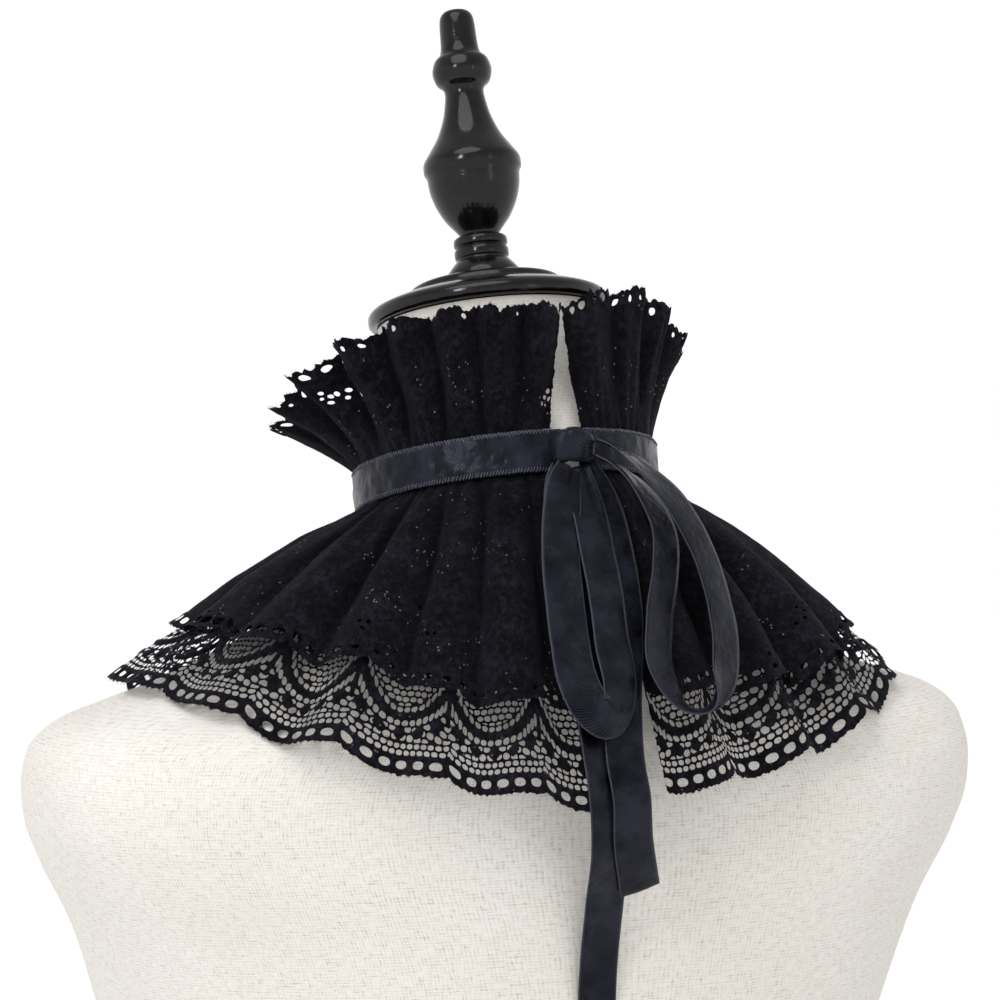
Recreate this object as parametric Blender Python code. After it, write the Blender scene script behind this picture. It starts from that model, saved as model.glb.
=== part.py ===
"""A detachable black lace collar, tied with a ribbon at the back, on a limbless dress form.

Metres, +Z up. The form's front faces -Y and the collar's opening is at its back, +Y. Sizes below are in millimetres
from the middle of the neck ring, and place() moves them to the form's foot.
"""

import math
from collections import namedtuple

import bmesh
import bpy
from mathutils import Vector

MM = 0.001
SMOOTH_ANGLE = 40.0


def table(columns, rows):
    """Rows of numbers whose columns have names."""
    row_type = namedtuple("Row", columns)
    return [row_type(*row) for row in rows]


# Where the middle of the neck ring stands over the middle of the form's foot
NECK_Y = 0.8
NECK_Z = 580.0

# The neck leans forward, so its ring is lower in front
NECK_LEAN = math.radians(14.5)

# Radii at the neck ring to the middle of each wall, from the form outwards
LOWER_TIER_SEAT = 57.2
UPPER_LACE_SEAT = 59.0
RIBBON_SEAT = 61.0
LACE_WALL = 1.1
RIBBON_WALL = 1.1
RIBBON_WIDTH = 16.0
RIBBON_HALF = RIBBON_WIDTH / 2

# Heights up the neck axis where the gathers leave the ring: the lower tier, the upper tier and the frill
LOWER_TIER_START = -RIBBON_HALF - 2.0
UPPER_TIER_START = -RIBBON_HALF - 0.5
FRILL_START = RIBBON_HALF + 0.5
LOWER_TIER_TOP = 5.0
SEAM_HALF_GAP = 0.5

# The lace: one repeat of its scalloped edge, and the row of eyelets along it
SCALLOPS = 23
EYELETS_PER_SCALLOP = 6
COARSE_PER_SCALLOP = 4
SCALLOP_DEPTH = 4.5
EDGE_CORD = 2.8
EYELET_HEIGHT = 3.4
EYELET_SHARE = 0.64
HEM_BAND = 11.5
HEM_BAND_FOLLOWS = 0.4

# Half the opening at the back, in degrees round the neck, where the hem's two corners come to, and
# the share of the way round over which an edge's pull to there fades
BACK_HALF_GAP = 7.5
HEM_LEFT_ANGLE = 1.0
HEM_RIGHT_ANGLE = -6.5
PULL_SHARE = 0.25
UPPER_HEM_PULL = 0.7

# The dress form, a section a row: height of its middle, how far back that is, half width, half depth,
# lean in degrees, and squareness (2 is an ellipse)
FORM_ROWS = table("z y half_width half_depth lean squareness", (
    (63.1, -16.3, 45.0, 45.0, 14.5, 2.0),
    (44.0, -11.4, 46.5, 46.5, 14.5, 2.0),
    (20.0, -5.2, 52.0, 52.0, 14.5, 2.0),
    (0.0, 0.0, 56.0, 56.0, 14.5, 2.0),
    (-12.0, 2.9, 55.8, 55.8, 13.0, 2.0),
    (-23.0, 3.5, 60.5, 60.0, 10.0, 2.0),
    (-36.0, 4.0, 74.0, 66.0, 7.0, 2.0),
    (-48.0, 4.0, 91.0, 70.5, 5.0, 2.0),
    (-58.0, 4.0, 108.0, 74.0, 3.0, 2.0),
    (-67.0, 3.5, 127.0, 77.0, 1.0, 2.0),
    (-77.0, 3.0, 151.0, 79.5, 0.0, 2.0),
    (-83.0, 3.0, 171.5, 81.0, 0.0, 2.0),
    (-88.5, 3.0, 187.0, 82.5, 0.0, 2.1),
    (-94.0, 3.0, 195.0, 84.5, 0.0, 2.2),
    (-101.0, 2.5, 199.5, 86.5, 0.0, 2.3),
    (-112.0, 2.5, 200.5, 89.0, 0.0, 2.5),
    (-128.0, 2.0, 198.5, 91.0, 0.0, 2.6),
    (-146.0, 0.5, 191.0, 94.0, 0.0, 2.6),
    (-172.0, -3.0, 177.0, 98.0, 0.0, 2.5),
    (-208.0, -8.0, 164.0, 103.5, 0.0, 2.4),
    (-245.0, -11.0, 154.0, 104.5, 0.0, 2.3),
    (-300.0, -10.0, 137.0, 92.0, 0.0, 2.2),
    (-345.0, -8.0, 123.0, 81.0, 0.0, 2.2),
    (-385.0, -6.0, 119.0, 78.0, 0.0, 2.2),
    (-425.0, -4.0, 128.0, 83.0, 0.0, 2.2),
    (-475.0, -3.0, 149.0, 93.0, 0.0, 2.3),
    (-525.0, -2.0, 163.0, 99.0, 0.0, 2.3),
    (-580.0, -2.0, 166.0, 100.0, 0.0, 2.3),
))
FORM_SIDES = 40

# The turned neck cap and finial, up the leaning neck axis from the ring: height, radius
CAP_ROWS = table("height radius", (
    (65.6, 44.0),
    (65.6, 47.0),
    (66.8, 48.4),
    (70.0, 48.6),
    (72.2, 47.0),
    (74.6, 41.0),
    (76.6, 33.5),
    (77.0, 31.0),
    (79.4, 30.4),
    (80.6, 28.0),
    (81.6, 16.2),
))
CAP_SIDES = 32
FINIAL_ROWS = table("height radius", (
    (81.9, 15.6),
    (85.0, 14.6),
    (88.0, 12.2),
    (90.0, 10.2),
    (91.0, 11.0),
    (94.0, 11.0),
    (95.0, 10.0),
    (96.0, 11.0),
    (99.0, 10.8),
    (100.0, 7.6),
    (102.5, 9.4),
    (107.0, 13.2),
    (113.0, 16.4),
    (119.5, 18.4),
    (125.5, 18.8),
    (127.0, 19.9),
    (131.0, 19.9),
    (134.5, 17.6),
    (141.5, 12.8),
    (150.0, 9.4),
    (161.0, 7.4),
    (163.5, 11.0),
    (168.5, 12.4),
    (173.5, 11.0),
    (176.0, 7.6),
    (191.0, 7.2),
    (193.6, 5.2),
    (194.4, 2.4),
))
FINIAL_SIDES = 20

# Grooves between the gathers, in degrees round the neck from the back by the form's left, with how far
# each gather rises between its groove and the next, at the hem and at the top of the frill
GATHER_ROWS = table("groove hem_rise frill_rise", (
    (7.5, 4.0, 5.0),
    (19.0, 6.0, 6.5),
    (33.0, 6.5, 7.5),
    (47.0, 5.5, 7.5),
    (62.0, 4.5, 8.5),
    (79.0, 3.5, 7.0),
    (97.0, 3.5, 6.5),
    (114.0, 4.0, 8.0),
    (131.0, 5.5, 8.0),
    (148.0, 6.5, 7.0),
    (165.0, 6.0, 8.5),
    (182.0, 7.0, 7.5),
    (199.0, 6.0, 8.0),
    (216.0, 6.0, 7.0),
    (233.0, 4.0, 8.0),
    (250.0, 3.5, 6.5),
    (267.0, 3.5, 6.0),
    (284.0, 5.0, 5.0),
    (300.0, 9.0, 4.0),
    (316.0, 9.5, 3.5),
    (333.0, 6.0, 3.0),
))
LAST_GROOVE = 352.5

# The grooves of the hem, round the form from the back: angle, radius and height of the lower tier's hem,
# radius of the upper tier's hem, and how far the tiers bulge out (or sag in) between the ribbon and the hem
HEM_ROWS = table("angle lower_radius lower_z upper_radius bulge", (
    (0.0, 117.0, -117.5, 98.0, 3.0),
    (30.0, 124.5, -107.0, 106.0, 2.0),
    (57.0, 142.0, -90.0, 117.0, 2.0),
    (78.0, 154.0, -76.5, 127.0, 1.5),
    (90.0, 156.0, -74.5, 129.0, 1.5),
    (102.0, 154.5, -76.5, 128.0, 1.5),
    (130.0, 142.0, -92.0, 116.0, 1.0),
    (155.0, 129.0, -112.0, 103.0, 1.5),
    (180.0, 122.0, -125.0, 98.0, 2.0),
    (205.0, 130.0, -114.0, 104.0, 1.0),
    (230.0, 145.0, -93.0, 118.0, -0.5),
    (256.0, 156.0, -77.0, 131.0, 0.5),
    (270.0, 158.5, -74.5, 134.0, 1.5),
    (284.0, 156.5, -78.5, 134.0, 3.0),
    (300.0, 145.5, -90.0, 127.0, 4.5),
    (318.0, 128.0, -101.0, 112.0, 3.5),
    (338.0, 117.0, -108.0, 100.0, 2.0),
    (360.0, 116.0, -113.0, 98.0, 3.0),
))

# A height that, with a point's own x and y, points out of a tier wherever the point is, the step over which
# its slope is measured, and the nearest to the ribbon that it is measured
NECK_TO_OUTSIDE = 60.0
SLOPE_STEP = 0.002
SLOPE_START = 0.01

# How far the upper tier stands further off the lower one once clear of the ribbon
UPPER_TIER_LIFT = 1.0

# How far down a tier its gathers reach their full rise, and the power of the way there that they follow
GATHER_GROWTH = 0.5
GATHER_POWER = 0.8

# The rows of points that both tiers share, as shares of the way down the lower one
TIER_ROWS = (0.1, 0.28, 0.5)
LOWER_TIER_ROWS = (*TIER_ROWS, 0.76)

# The frill's top edge in its grooves: angle round the neck, radius, height up the neck axis
FRILL_ROWS = table("angle radius height", (
    (0.0, 66.0, 53.0),
    (25.0, 67.0, 54.0),
    (45.0, 69.0, 54.0),
    (60.0, 71.0, 52.0),
    (75.0, 75.0, 48.0),
    (90.0, 81.0, 42.0),
    (105.0, 84.0, 36.0),
    (120.0, 84.0, 32.0),
    (150.0, 83.0, 34.0),
    (180.0, 80.0, 38.0),
    (210.0, 80.0, 42.0),
    (240.0, 78.0, 46.0),
    (270.0, 76.0, 48.0),
    (292.0, 72.0, 50.0),
    (305.0, 69.0, 56.0),
    (320.0, 67.0, 61.0),
    (340.0, 65.0, 60.0),
    (360.0, 65.0, 55.0),
))
FRILL_TOP_LEFT = 0.5
FRILL_TOP_RIGHT = -2.5
FRILL_SCALLOPS = 18
FRILL_COLUMNS_PER_SCALLOP = 5
FRILL_SCALLOP_DEPTH = 3.0
FRILL_HEIGHT = 46.0
FLARE_POWER = 1.4

# The frill's rows of points, as shares of the way up
FRILL_LEVELS = (1.0, 0.75, 0.48, 0.22, 0.0)

# The neck ribbon: its facets, and half the gap between its ends behind the knot, in degrees
RIBBON_COLUMNS = 56
RIBBON_BACK_GAP = 3.0

# Points on each ribbon of the bow for every row of its route
ROUTE_STEPS = 2

# The bow. Each ribbon's route is a row a point: x, y, z of its middle line, the compass turn of its width
# in degrees (0 lies across the back, 90 points away from it), and the width, pinched at the knot
LONG_LOOP_ROUTE = table("x y z width_turn width", (
    (5.0, 67.9, 8.7, 0.0, 11.0),
    (9.5, 73.0, 1.0, -5.0, 15.0),
    (14.5, 80.5, -12.0, -5.0, 16.0),
    (19.0, 90.0, -26.0, -5.0, 16.0),
    (21.5, 98.5, -40.0, -5.0, 16.0),
    (23.5, 107.0, -54.0, -5.0, 16.0),
    (24.5, 115.0, -67.0, -5.0, 16.0),
    (22.0, 121.0, -77.0, 0.0, 16.0),
    (16.5, 123.5, -82.0, 10.0, 16.0),
    (10.5, 121.0, -80.0, 15.0, 16.0),
    (7.0, 116.0, -70.0, 10.0, 16.0),
    (6.0, 107.5, -55.0, 5.0, 16.0),
    (3.5, 97.0, -38.0, 5.0, 16.0),
    (1.5, 84.5, -20.0, 5.0, 16.0),
    (0.5, 75.5, -6.0, 5.0, 15.0),
    (1.0, 66.1, 8.7, 0.0, 11.0),
))
OPEN_LOOP_ROUTE = table("x y z width_turn width", (
    (-7.5, 66.8, 19.0, 85.0, 9.0),
    (-13.5, 70.5, 16.5, 60.0, 12.0),
    (-22.0, 77.0, 9.0, 40.0, 15.0),
    (-32.5, 85.5, -5.0, 28.0, 16.0),
    (-40.5, 94.0, -25.0, 28.0, 16.0),
    (-43.5, 101.0, -44.0, 28.0, 16.0),
    (-42.0, 109.0, -60.0, 28.0, 16.0),
    (-36.0, 117.0, -73.0, 35.0, 16.0),
    (-26.0, 121.5, -81.0, 60.0, 16.0),
    (-16.0, 120.0, -77.5, 45.0, 16.0),
    (-12.0, 112.5, -64.5, 30.0, 16.0),
    (-16.0, 104.0, -47.0, 28.0, 16.0),
    (-22.5, 96.0, -30.0, 28.0, 16.0),
    (-25.5, 88.5, -14.5, 30.0, 16.0),
    (-21.0, 80.0, 0.0, 40.0, 15.0),
    (-13.5, 73.0, 9.0, 60.0, 12.0),
    (-7.9, 67.2, 12.6, 85.0, 8.0),
))
SHORT_TAIL_ROUTE = table("x y z width_turn width", (
    (-3.0, 64.3, 8.7, 0.0, 11.0),
    (-5.5, 68.6, 1.0, 0.0, 15.0),
    (-8.0, 75.5, -12.0, 0.0, 16.0),
    (-6.0, 91.5, -38.0, 0.0, 16.0),
    (-1.0, 103.5, -58.0, 0.0, 16.0),
    (4.5, 113.5, -78.0, 0.0, 16.0),
    (7.5, 122.2, -98.0, 0.0, 16.0),
    (7.5, 127.8, -113.0, 0.0, 16.0),
    (5.0, 124.2, -130.0, 0.0, 16.0),
    (-3.5, 113.0, -150.0, 0.0, 16.0),
))
LONG_TAIL_ROUTE = table("x y z width_turn width", (
    (4.0, 62.4, 8.7, 0.0, 11.0),
    (7.0, 66.5, 1.0, 0.0, 15.0),
    (9.5, 73.0, -12.0, 0.0, 16.0),
    (12.0, 89.5, -38.0, 0.0, 16.0),
    (14.0, 101.5, -58.0, 0.0, 16.0),
    (15.5, 111.5, -78.0, 0.0, 16.0),
    (16.0, 120.0, -98.0, 0.0, 16.0),
    (16.0, 125.2, -113.0, 0.0, 16.0),
    (13.0, 120.6, -134.0, 0.0, 16.0),
    (8.5, 106.0, -158.0, 0.0, 16.0),
    (7.5, 98.5, -190.0, 0.0, 16.0),
    (8.0, 96.5, -250.0, 0.0, 16.0),
))

# The knot: its middle, half its size, the share of its width where its flat ends are, its squareness along
# and across, and its facets
KNOT_CENTRE = (1.5, 64.8, 15.9)
KNOT_HALF = (8.5, 4.6, 6.8)
KNOT_END = 0.94
KNOT_ALONG = 2.6
KNOT_ACROSS = 2.5
KNOT_RINGS = 8
KNOT_SIDES = 14


def place(x, y, z):
    """A point in metres over the form's foot, from millimetres round the neck ring's middle."""
    return Vector((x, y + NECK_Y, z + NECK_Z)) * MM


def ring_point(angle, radius, height):
    """A point round the leaning neck: angle from the back in degrees, radius, height up the neck axis."""
    turn = math.radians(angle)
    back = radius * math.cos(turn)
    lean_cos = math.cos(NECK_LEAN)
    lean_sin = math.sin(NECK_LEAN)
    return Vector((
        radius * math.sin(turn),
        back * lean_cos - height * lean_sin,
        back * lean_sin + height * lean_cos,
    ))


def smooth_step(t):
    return t * t * (3.0 - 2.0 * t)


def look_up(rows, angle, column):
    """A column of a table read smoothly between the rows on either side of an angle."""
    angle = angle % 360.0
    for low, high in zip(rows, rows[1:]):
        if low.angle <= angle <= high.angle:
            share = smooth_step((angle - low.angle) / (high.angle - low.angle))
            return getattr(low, column) * (1.0 - share) + getattr(high, column) * share
    return getattr(rows[-1], column)


def gather_rise(angle, column):
    """How far the cloth stands out of its grooves at an angle round the neck ring."""
    ends = [row.groove for row in GATHER_ROWS[1:]] + [LAST_GROOVE]
    for row, end in zip(GATHER_ROWS, ends):
        if row.groove <= angle <= end:
            share = (angle - row.groove) / (end - row.groove)
            return getattr(row, column) * math.sin(math.pi * share) ** 2
    return 0.0


def neck_angle(share):
    """The angle round the neck ring, from the opening's left edge round the front to its right edge."""
    return BACK_HALF_GAP + share * (360.0 - 2 * BACK_HALF_GAP)


def drift(share, left, right, amount):
    """Degrees to add to neck_angle(share), so that the two back edges reach left and right when amount is 1."""
    left_move = left - BACK_HALF_GAP
    right_move = right + BACK_HALF_GAP
    fade_left = max(0.0, 1.0 - share / PULL_SHARE) ** 2
    fade_right = max(0.0, 1.0 - (1.0 - share) / PULL_SHARE) ** 2
    return amount * (left_move * fade_left + right_move * fade_right)


def lower_tier_point(share, down):
    """The middle of the lower tier's wall: share of the way round, down from the ribbon (0) to the hem (1)."""
    angle = neck_angle(share)
    hem_angle = angle + drift(share, HEM_LEFT_ANGLE, HEM_RIGHT_ANGLE, 1.0)
    start = ring_point(angle, LOWER_TIER_SEAT, LOWER_TIER_START)
    if down <= 0.0:
        return start
    turn = math.radians(hem_angle)
    around = Vector((math.sin(turn), math.cos(turn), 0.0))
    hem = around * look_up(HEM_ROWS, hem_angle, "lower_radius")
    hem.z = look_up(HEM_ROWS, hem_angle, "lower_z")
    along = Vector((math.cos(turn), -math.sin(turn), 0.0))
    run = (hem - start).normalized()
    out = along.cross(run)
    if out.dot(around) < 0.0:
        out.negate()
    rise = gather_rise(angle, "hem_rise") * min(1.0, down / GATHER_GROWTH) ** GATHER_POWER
    bulge = look_up(HEM_ROWS, hem_angle, "bulge") * math.sin(math.pi * min(down, 1.0) ** GATHER_POWER)
    return start + (hem - start) * down + out * (rise + bulge)


def tier_normal(share, down):
    """The direction out of the lower tier at a point."""
    after = lower_tier_point(min(share + SLOPE_STEP, 1.0), down)
    before = lower_tier_point(max(share - SLOPE_STEP, 0.0), down)
    side = after - before
    low = max(down, SLOPE_START)
    run = lower_tier_point(share, low + SLOPE_STEP) - lower_tier_point(share, low)
    out = side.cross(run).normalized()
    centre = lower_tier_point(share, low)
    if out.dot(Vector((centre.x, centre.y, NECK_TO_OUTSIDE))) < 0.0:
        out.negate()
    return out


def tier_length(share):
    """The length down the lower tier at a share of the way round."""
    return (lower_tier_point(share, 1.0) - lower_tier_point(share, 0.001)).length


def scallop(share, count):
    """The edge's drop at a share of the way round: 0 between scallops, 1 at the foot of each."""
    return math.sqrt(abs(math.sin(math.pi * share * count)))


def upper_share_down(share):
    """How far down the lower tier the upper tier's hem comes."""
    angle = neck_angle(share) + drift(share, HEM_LEFT_ANGLE, HEM_RIGHT_ANGLE, UPPER_HEM_PULL)
    lower = look_up(HEM_ROWS, angle, "lower_radius") - LOWER_TIER_SEAT
    upper = look_up(HEM_ROWS, angle, "upper_radius") - LOWER_TIER_SEAT
    return upper / lower


class Sheet:
    """A single layer of points and triangles, which thicken() turns into a closed wall."""

    def __init__(self):
        self.points = []
        self.faces = []

    def add(self, point):
        self.points.append(point)
        return len(self.points) - 1

    def quad(self, a, b, c, d):
        self.faces.append((a, b, c))
        self.faces.append((a, c, d))

    def strip(self, upper, lower, skip=()):
        """Faces between two rows of the same length, without those whose number is in skip."""
        for i in range(len(upper) - 1):
            if i not in skip:
                self.quad(upper[i], lower[i], lower[i + 1], upper[i + 1])

    def fan(self, coarse, fine, ratio):
        """Faces between a row and one with ratio times as many columns."""
        for i in range(len(coarse) - 1):
            base = i * ratio
            half = ratio // 2 + 1
            for j in range(half):
                self.faces.append((coarse[i], fine[base + j], fine[base + j + 1]))
            self.faces.append((coarse[i], fine[base + half], coarse[i + 1]))
            for j in range(half, ratio):
                self.faces.append((coarse[i + 1], fine[base + j], fine[base + j + 1]))

    def thicken(self, wall):
        """Points and faces of the closed wall, half of it on each side of the sheet."""
        normals = [Vector() for _ in self.points]
        for a, b, c in self.faces:
            pa, pb, pc = self.points[a], self.points[b], self.points[c]
            normal = (pb - pa).cross(pc - pa)
            for i in (a, b, c):
                normals[i] += normal
        count = len(self.points)
        half = wall / 2
        points = []
        for sign in (1.0, -1.0):
            for point, normal in zip(self.points, normals):
                points.append(point + normal.normalized() * (half * sign))
        faces = list(self.faces)
        faces += [(c + count, b + count, a + count) for a, b, c in self.faces]
        open_edges = {}
        for a, b, c in self.faces:
            for edge in ((a, b), (b, c), (c, a)):
                open_edges[edge] = True
        for a, b in open_edges:
            if (b, a) not in open_edges:
                faces.append((b, a, a + count))
                faces.append((b, a + count, b + count))
        return points, faces


def make_object(name, points, faces, material):
    """A named object from points in millimetres round the neck ring's middle."""
    mesh = bpy.data.meshes.new(name)
    mesh.from_pydata([place(*p) for p in points], [], faces)
    box = bmesh.new()
    box.from_mesh(mesh)
    bmesh.ops.recalc_face_normals(box, faces=box.faces)
    box.to_mesh(mesh)
    box.free()
    mesh.shade_smooth()
    mesh.set_sharp_from_angle(angle=math.radians(SMOOTH_ANGLE))
    mesh.materials.append(material)
    piece = bpy.data.objects.new(name, mesh)
    bpy.context.scene.collection.objects.link(piece)
    return piece


def make_material(name, colour, roughness, coat=0.0):
    material = bpy.data.materials.new(name)
    material.use_nodes = True
    shader = material.node_tree.nodes["Principled BSDF"]
    shader.inputs["Base Color"].default_value = (*colour, 1.0)
    shader.inputs["Roughness"].default_value = roughness
    shader.inputs["Coat Weight"].default_value = coat
    return material


def loft(name, rings, material):
    """A closed solid through rings of the same number of points, with flat ends."""
    sides = len(rings[0])
    points = [p for ring in rings for p in ring]
    faces = []
    for i in range(len(rings) - 1):
        for j in range(sides):
            k = (j + 1) % sides
            a, b = i * sides + j, i * sides + k
            c, d = b + sides, a + sides
            faces.append((a, b, c))
            faces.append((a, c, d))
    last = (len(rings) - 1) * sides
    faces.append(tuple(range(sides - 1, -1, -1)))
    faces.append(tuple(last + j for j in range(sides)))
    return make_object(name, points, faces, material)


def superellipse(turn, half_width, half_depth, squareness):
    power = 2.0 / squareness
    sine, cosine = math.sin(turn), math.cos(turn)
    x = half_width * math.copysign(abs(sine) ** power, sine)
    y = half_depth * math.copysign(abs(cosine) ** power, cosine)
    return x, y


def build_form(material):
    """The limbless form, lofted through its sections."""
    rings = []
    for z, y, half_width, half_depth, lean, squareness in FORM_ROWS:
        tilt = math.radians(lean)
        ring = []
        for i in range(FORM_SIDES):
            x, back = superellipse(math.tau * i / FORM_SIDES, half_width, half_depth, squareness)
            ring.append((x, y + back * math.cos(tilt), z + back * math.sin(tilt)))
        rings.append(ring)
    return loft("dress_form", rings, material)


def build_turned(name, rows, sides, material):
    """A turned piece on the leaning neck axis."""
    rings = []
    for height, radius in rows:
        rings.append([ring_point(360.0 * i / sides, radius, height) for i in range(sides)])
    return loft(name, rings, material)


def build_lower_tier(material):
    """The wide tier: even rows down to the hem's band, then three times as many columns for the eyelets."""
    sheet = Sheet()
    coarse = SCALLOPS * COARSE_PER_SCALLOP
    fine = SCALLOPS * EYELETS_PER_SCALLOP * 2
    top = [sheet.add(ring_point(neck_angle(i / coarse), LOWER_TIER_SEAT, LOWER_TIER_TOP)) for i in range(coarse + 1)]
    rows = [top]
    for down in (0.0, *LOWER_TIER_ROWS):
        rows.append([sheet.add(lower_tier_point(i / coarse, down)) for i in range(coarse + 1)])
    band = []
    for i in range(coarse + 1):
        share = i / coarse
        follow = HEM_BAND_FOLLOWS * SCALLOP_DEPTH * scallop(share, SCALLOPS)
        drop = (HEM_BAND - follow) / tier_length(share)
        band.append(sheet.add(lower_tier_point(share, 1.0 - drop)))
    rows.append(band)
    for upper, lower in zip(rows, rows[1:]):
        sheet.strip(upper, lower)
    hem_rows = []
    for from_edge in (EDGE_CORD + EYELET_HEIGHT, EDGE_CORD, 0.0):
        row = []
        for i in range(fine + 1):
            share = eyelet_share(i, fine)
            length = tier_length(share)
            edge = SCALLOP_DEPTH * scallop(share, SCALLOPS)
            row.append(sheet.add(lower_tier_point(share, 1.0 + (edge - from_edge) / length)))
        hem_rows.append(row)
    sheet.fan(band, hem_rows[0], fine // coarse)
    eyelets = set(range(1, fine, 2))
    sheet.strip(hem_rows[0], hem_rows[1], skip=eyelets)
    sheet.strip(hem_rows[1], hem_rows[2])
    points, faces = sheet.thicken(LACE_WALL)
    return make_object("lower_tier", points, faces, material)


def eyelet_share(column, fine):
    """The share of the way round of one side of an eyelet: bars are narrower than the holes between them."""
    pair = column // 2
    bar_end = (1.0 - EYELET_SHARE) * (column % 2)
    return min(1.0, (pair + bar_end) / (fine // 2)) if column < fine else 1.0


def upper_tier_point(share, down):
    """The middle of the upper tier's wall, moved out of the lower tier's."""
    lift = UPPER_LACE_SEAT - LOWER_TIER_SEAT + UPPER_TIER_LIFT * min(1.0, down / GATHER_GROWTH)
    return lower_tier_point(share, down) + tier_normal(share, down) * lift


def build_upper_tier(material):
    """The short tier over it, down to its own scalloped hem."""
    sheet = Sheet()
    columns = SCALLOPS * COARSE_PER_SCALLOP
    rows = []
    for height in (-SEAM_HALF_GAP, UPPER_TIER_START):
        rows.append([
            sheet.add(ring_point(neck_angle(i / columns), UPPER_LACE_SEAT, height)) for i in range(columns + 1)
        ])
    for down in TIER_ROWS:
        rows.append([sheet.add(upper_tier_point(i / columns, down)) for i in range(columns + 1)])
    hem = []
    for i in range(columns + 1):
        share = i / columns
        drop = SCALLOP_DEPTH * scallop(share, SCALLOPS) / tier_length(share)
        hem.append(sheet.add(upper_tier_point(share, upper_share_down(share) + drop)))
    rows.append(hem)
    for upper, lower in zip(rows, rows[1:]):
        sheet.strip(upper, lower)
    points, faces = sheet.thicken(LACE_WALL)
    return make_object("upper_tier", points, faces, material)


def frill_point(share, up):
    """The middle of the frill's wall: share of the way round, up from the ribbon's top (0) to the edge (1)."""
    angle = neck_angle(share)
    top_angle = angle + drift(share, FRILL_TOP_LEFT, FRILL_TOP_RIGHT, min(up, 1.0))
    radius = look_up(FRILL_ROWS, top_angle, "radius")
    height = look_up(FRILL_ROWS, top_angle, "height")
    flare = up ** FLARE_POWER
    rise = gather_rise(angle, "frill_rise") * up ** GATHER_POWER
    return ring_point(
        top_angle,
        UPPER_LACE_SEAT + (radius - UPPER_LACE_SEAT) * flare + rise,
        FRILL_START + (height - FRILL_START) * up,
    )


def build_frill(material):
    """The frill that stands up round the neck, with a finely scalloped edge."""
    sheet = Sheet()
    columns = FRILL_SCALLOPS * FRILL_COLUMNS_PER_SCALLOP
    rows = []
    for up in FRILL_LEVELS:
        row = []
        for i in range(columns + 1):
            share = i / columns
            edge = FRILL_SCALLOP_DEPTH / FRILL_HEIGHT * scallop(share, FRILL_SCALLOPS) if up == 1.0 else 0.0
            row.append(sheet.add(frill_point(share, up + edge)))
        rows.append(row)
    rows.append([
        sheet.add(ring_point(neck_angle(i / columns), UPPER_LACE_SEAT, SEAM_HALF_GAP)) for i in range(columns + 1)
    ])
    for upper, lower in zip(rows, rows[1:]):
        sheet.strip(upper, lower)
    points, faces = sheet.thicken(LACE_WALL)
    return make_object("upper_frill", points, faces, material)


def build_neck_ribbon(material):
    """The ribbon round the neck, over the gathers."""
    sheet = Sheet()
    rows = []
    for height in (RIBBON_HALF, -RIBBON_HALF):
        row = []
        for i in range(RIBBON_COLUMNS + 1):
            angle = RIBBON_BACK_GAP + i / RIBBON_COLUMNS * (360.0 - 2 * RIBBON_BACK_GAP)
            row.append(sheet.add(ring_point(angle, RIBBON_SEAT, height)))
        rows.append(row)
    for upper, lower in zip(rows, rows[1:]):
        sheet.strip(upper, lower)
    points, faces = sheet.thicken(RIBBON_WALL)
    return make_object("neck_ribbon", points, faces, material)


def smooth_route(rows):
    """Points on a smooth curve through a route's rows, with the turn and size of the width at each."""
    samples = []
    for i in range(len(rows) - 1):
        before = rows[max(i - 1, 0)]
        after = rows[min(i + 2, len(rows) - 1)]
        for j in range(ROUTE_STEPS):
            t = j / ROUTE_STEPS
            samples.append([
                0.5 * (2 * b + (c - a) * t + (2 * a - 5 * b + 4 * c - d) * t * t + (3 * b - a - 3 * c + d) * t ** 3)
                for a, b, c, d in zip(before, rows[i], rows[i + 1], after)
            ])
    samples.append(list(rows[-1]))
    return samples


def build_ribbon(name, route, material):
    """A ribbon of the bow: a strip along its route, thickened."""
    samples = smooth_route(route)
    sheet = Sheet()
    edges = []
    for i, (x, y, z, width_turn, width) in enumerate(samples):
        before = samples[max(i - 1, 0)]
        after = samples[min(i + 1, len(samples) - 1)]
        run = (Vector(after[:3]) - Vector(before[:3])).normalized()
        turn = math.radians(width_turn)
        across = Vector((math.cos(turn), math.sin(turn), 0.0))
        across = (across - run * across.dot(run)).normalized()
        middle = Vector((x, y, z))
        edges.append([sheet.add(middle + across * (width / 2 * side)) for side in (-1.0, 1.0)])
    for upper, lower in zip(edges, edges[1:]):
        sheet.strip(upper, lower)
    points, faces = sheet.thicken(RIBBON_WALL)
    return make_object(name, points, faces, material)


def build_knot(material):
    """The knot: a squashed cushion of ribbon over the ends of the neck ribbon."""
    rings = []
    for i in range(KNOT_RINGS + 1):
        across = KNOT_END * (2.0 * i / KNOT_RINGS - 1.0)
        swell = (1.0 - abs(across) ** KNOT_ALONG) ** (1.0 / KNOT_ALONG)
        ring = []
        for j in range(KNOT_SIDES):
            turn = math.tau * j / KNOT_SIDES
            y, z = superellipse(turn, KNOT_HALF[1] * swell, KNOT_HALF[2] * swell, KNOT_ACROSS)
            ring.append((KNOT_CENTRE[0] + KNOT_HALF[0] * across, KNOT_CENTRE[1] + y, KNOT_CENTRE[2] + z))
        rings.append(ring)
    return loft("bow_knot", rings, material)


def clear_scene():
    for thing in list(bpy.data.objects):
        bpy.data.objects.remove(thing, do_unlink=True)


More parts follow.
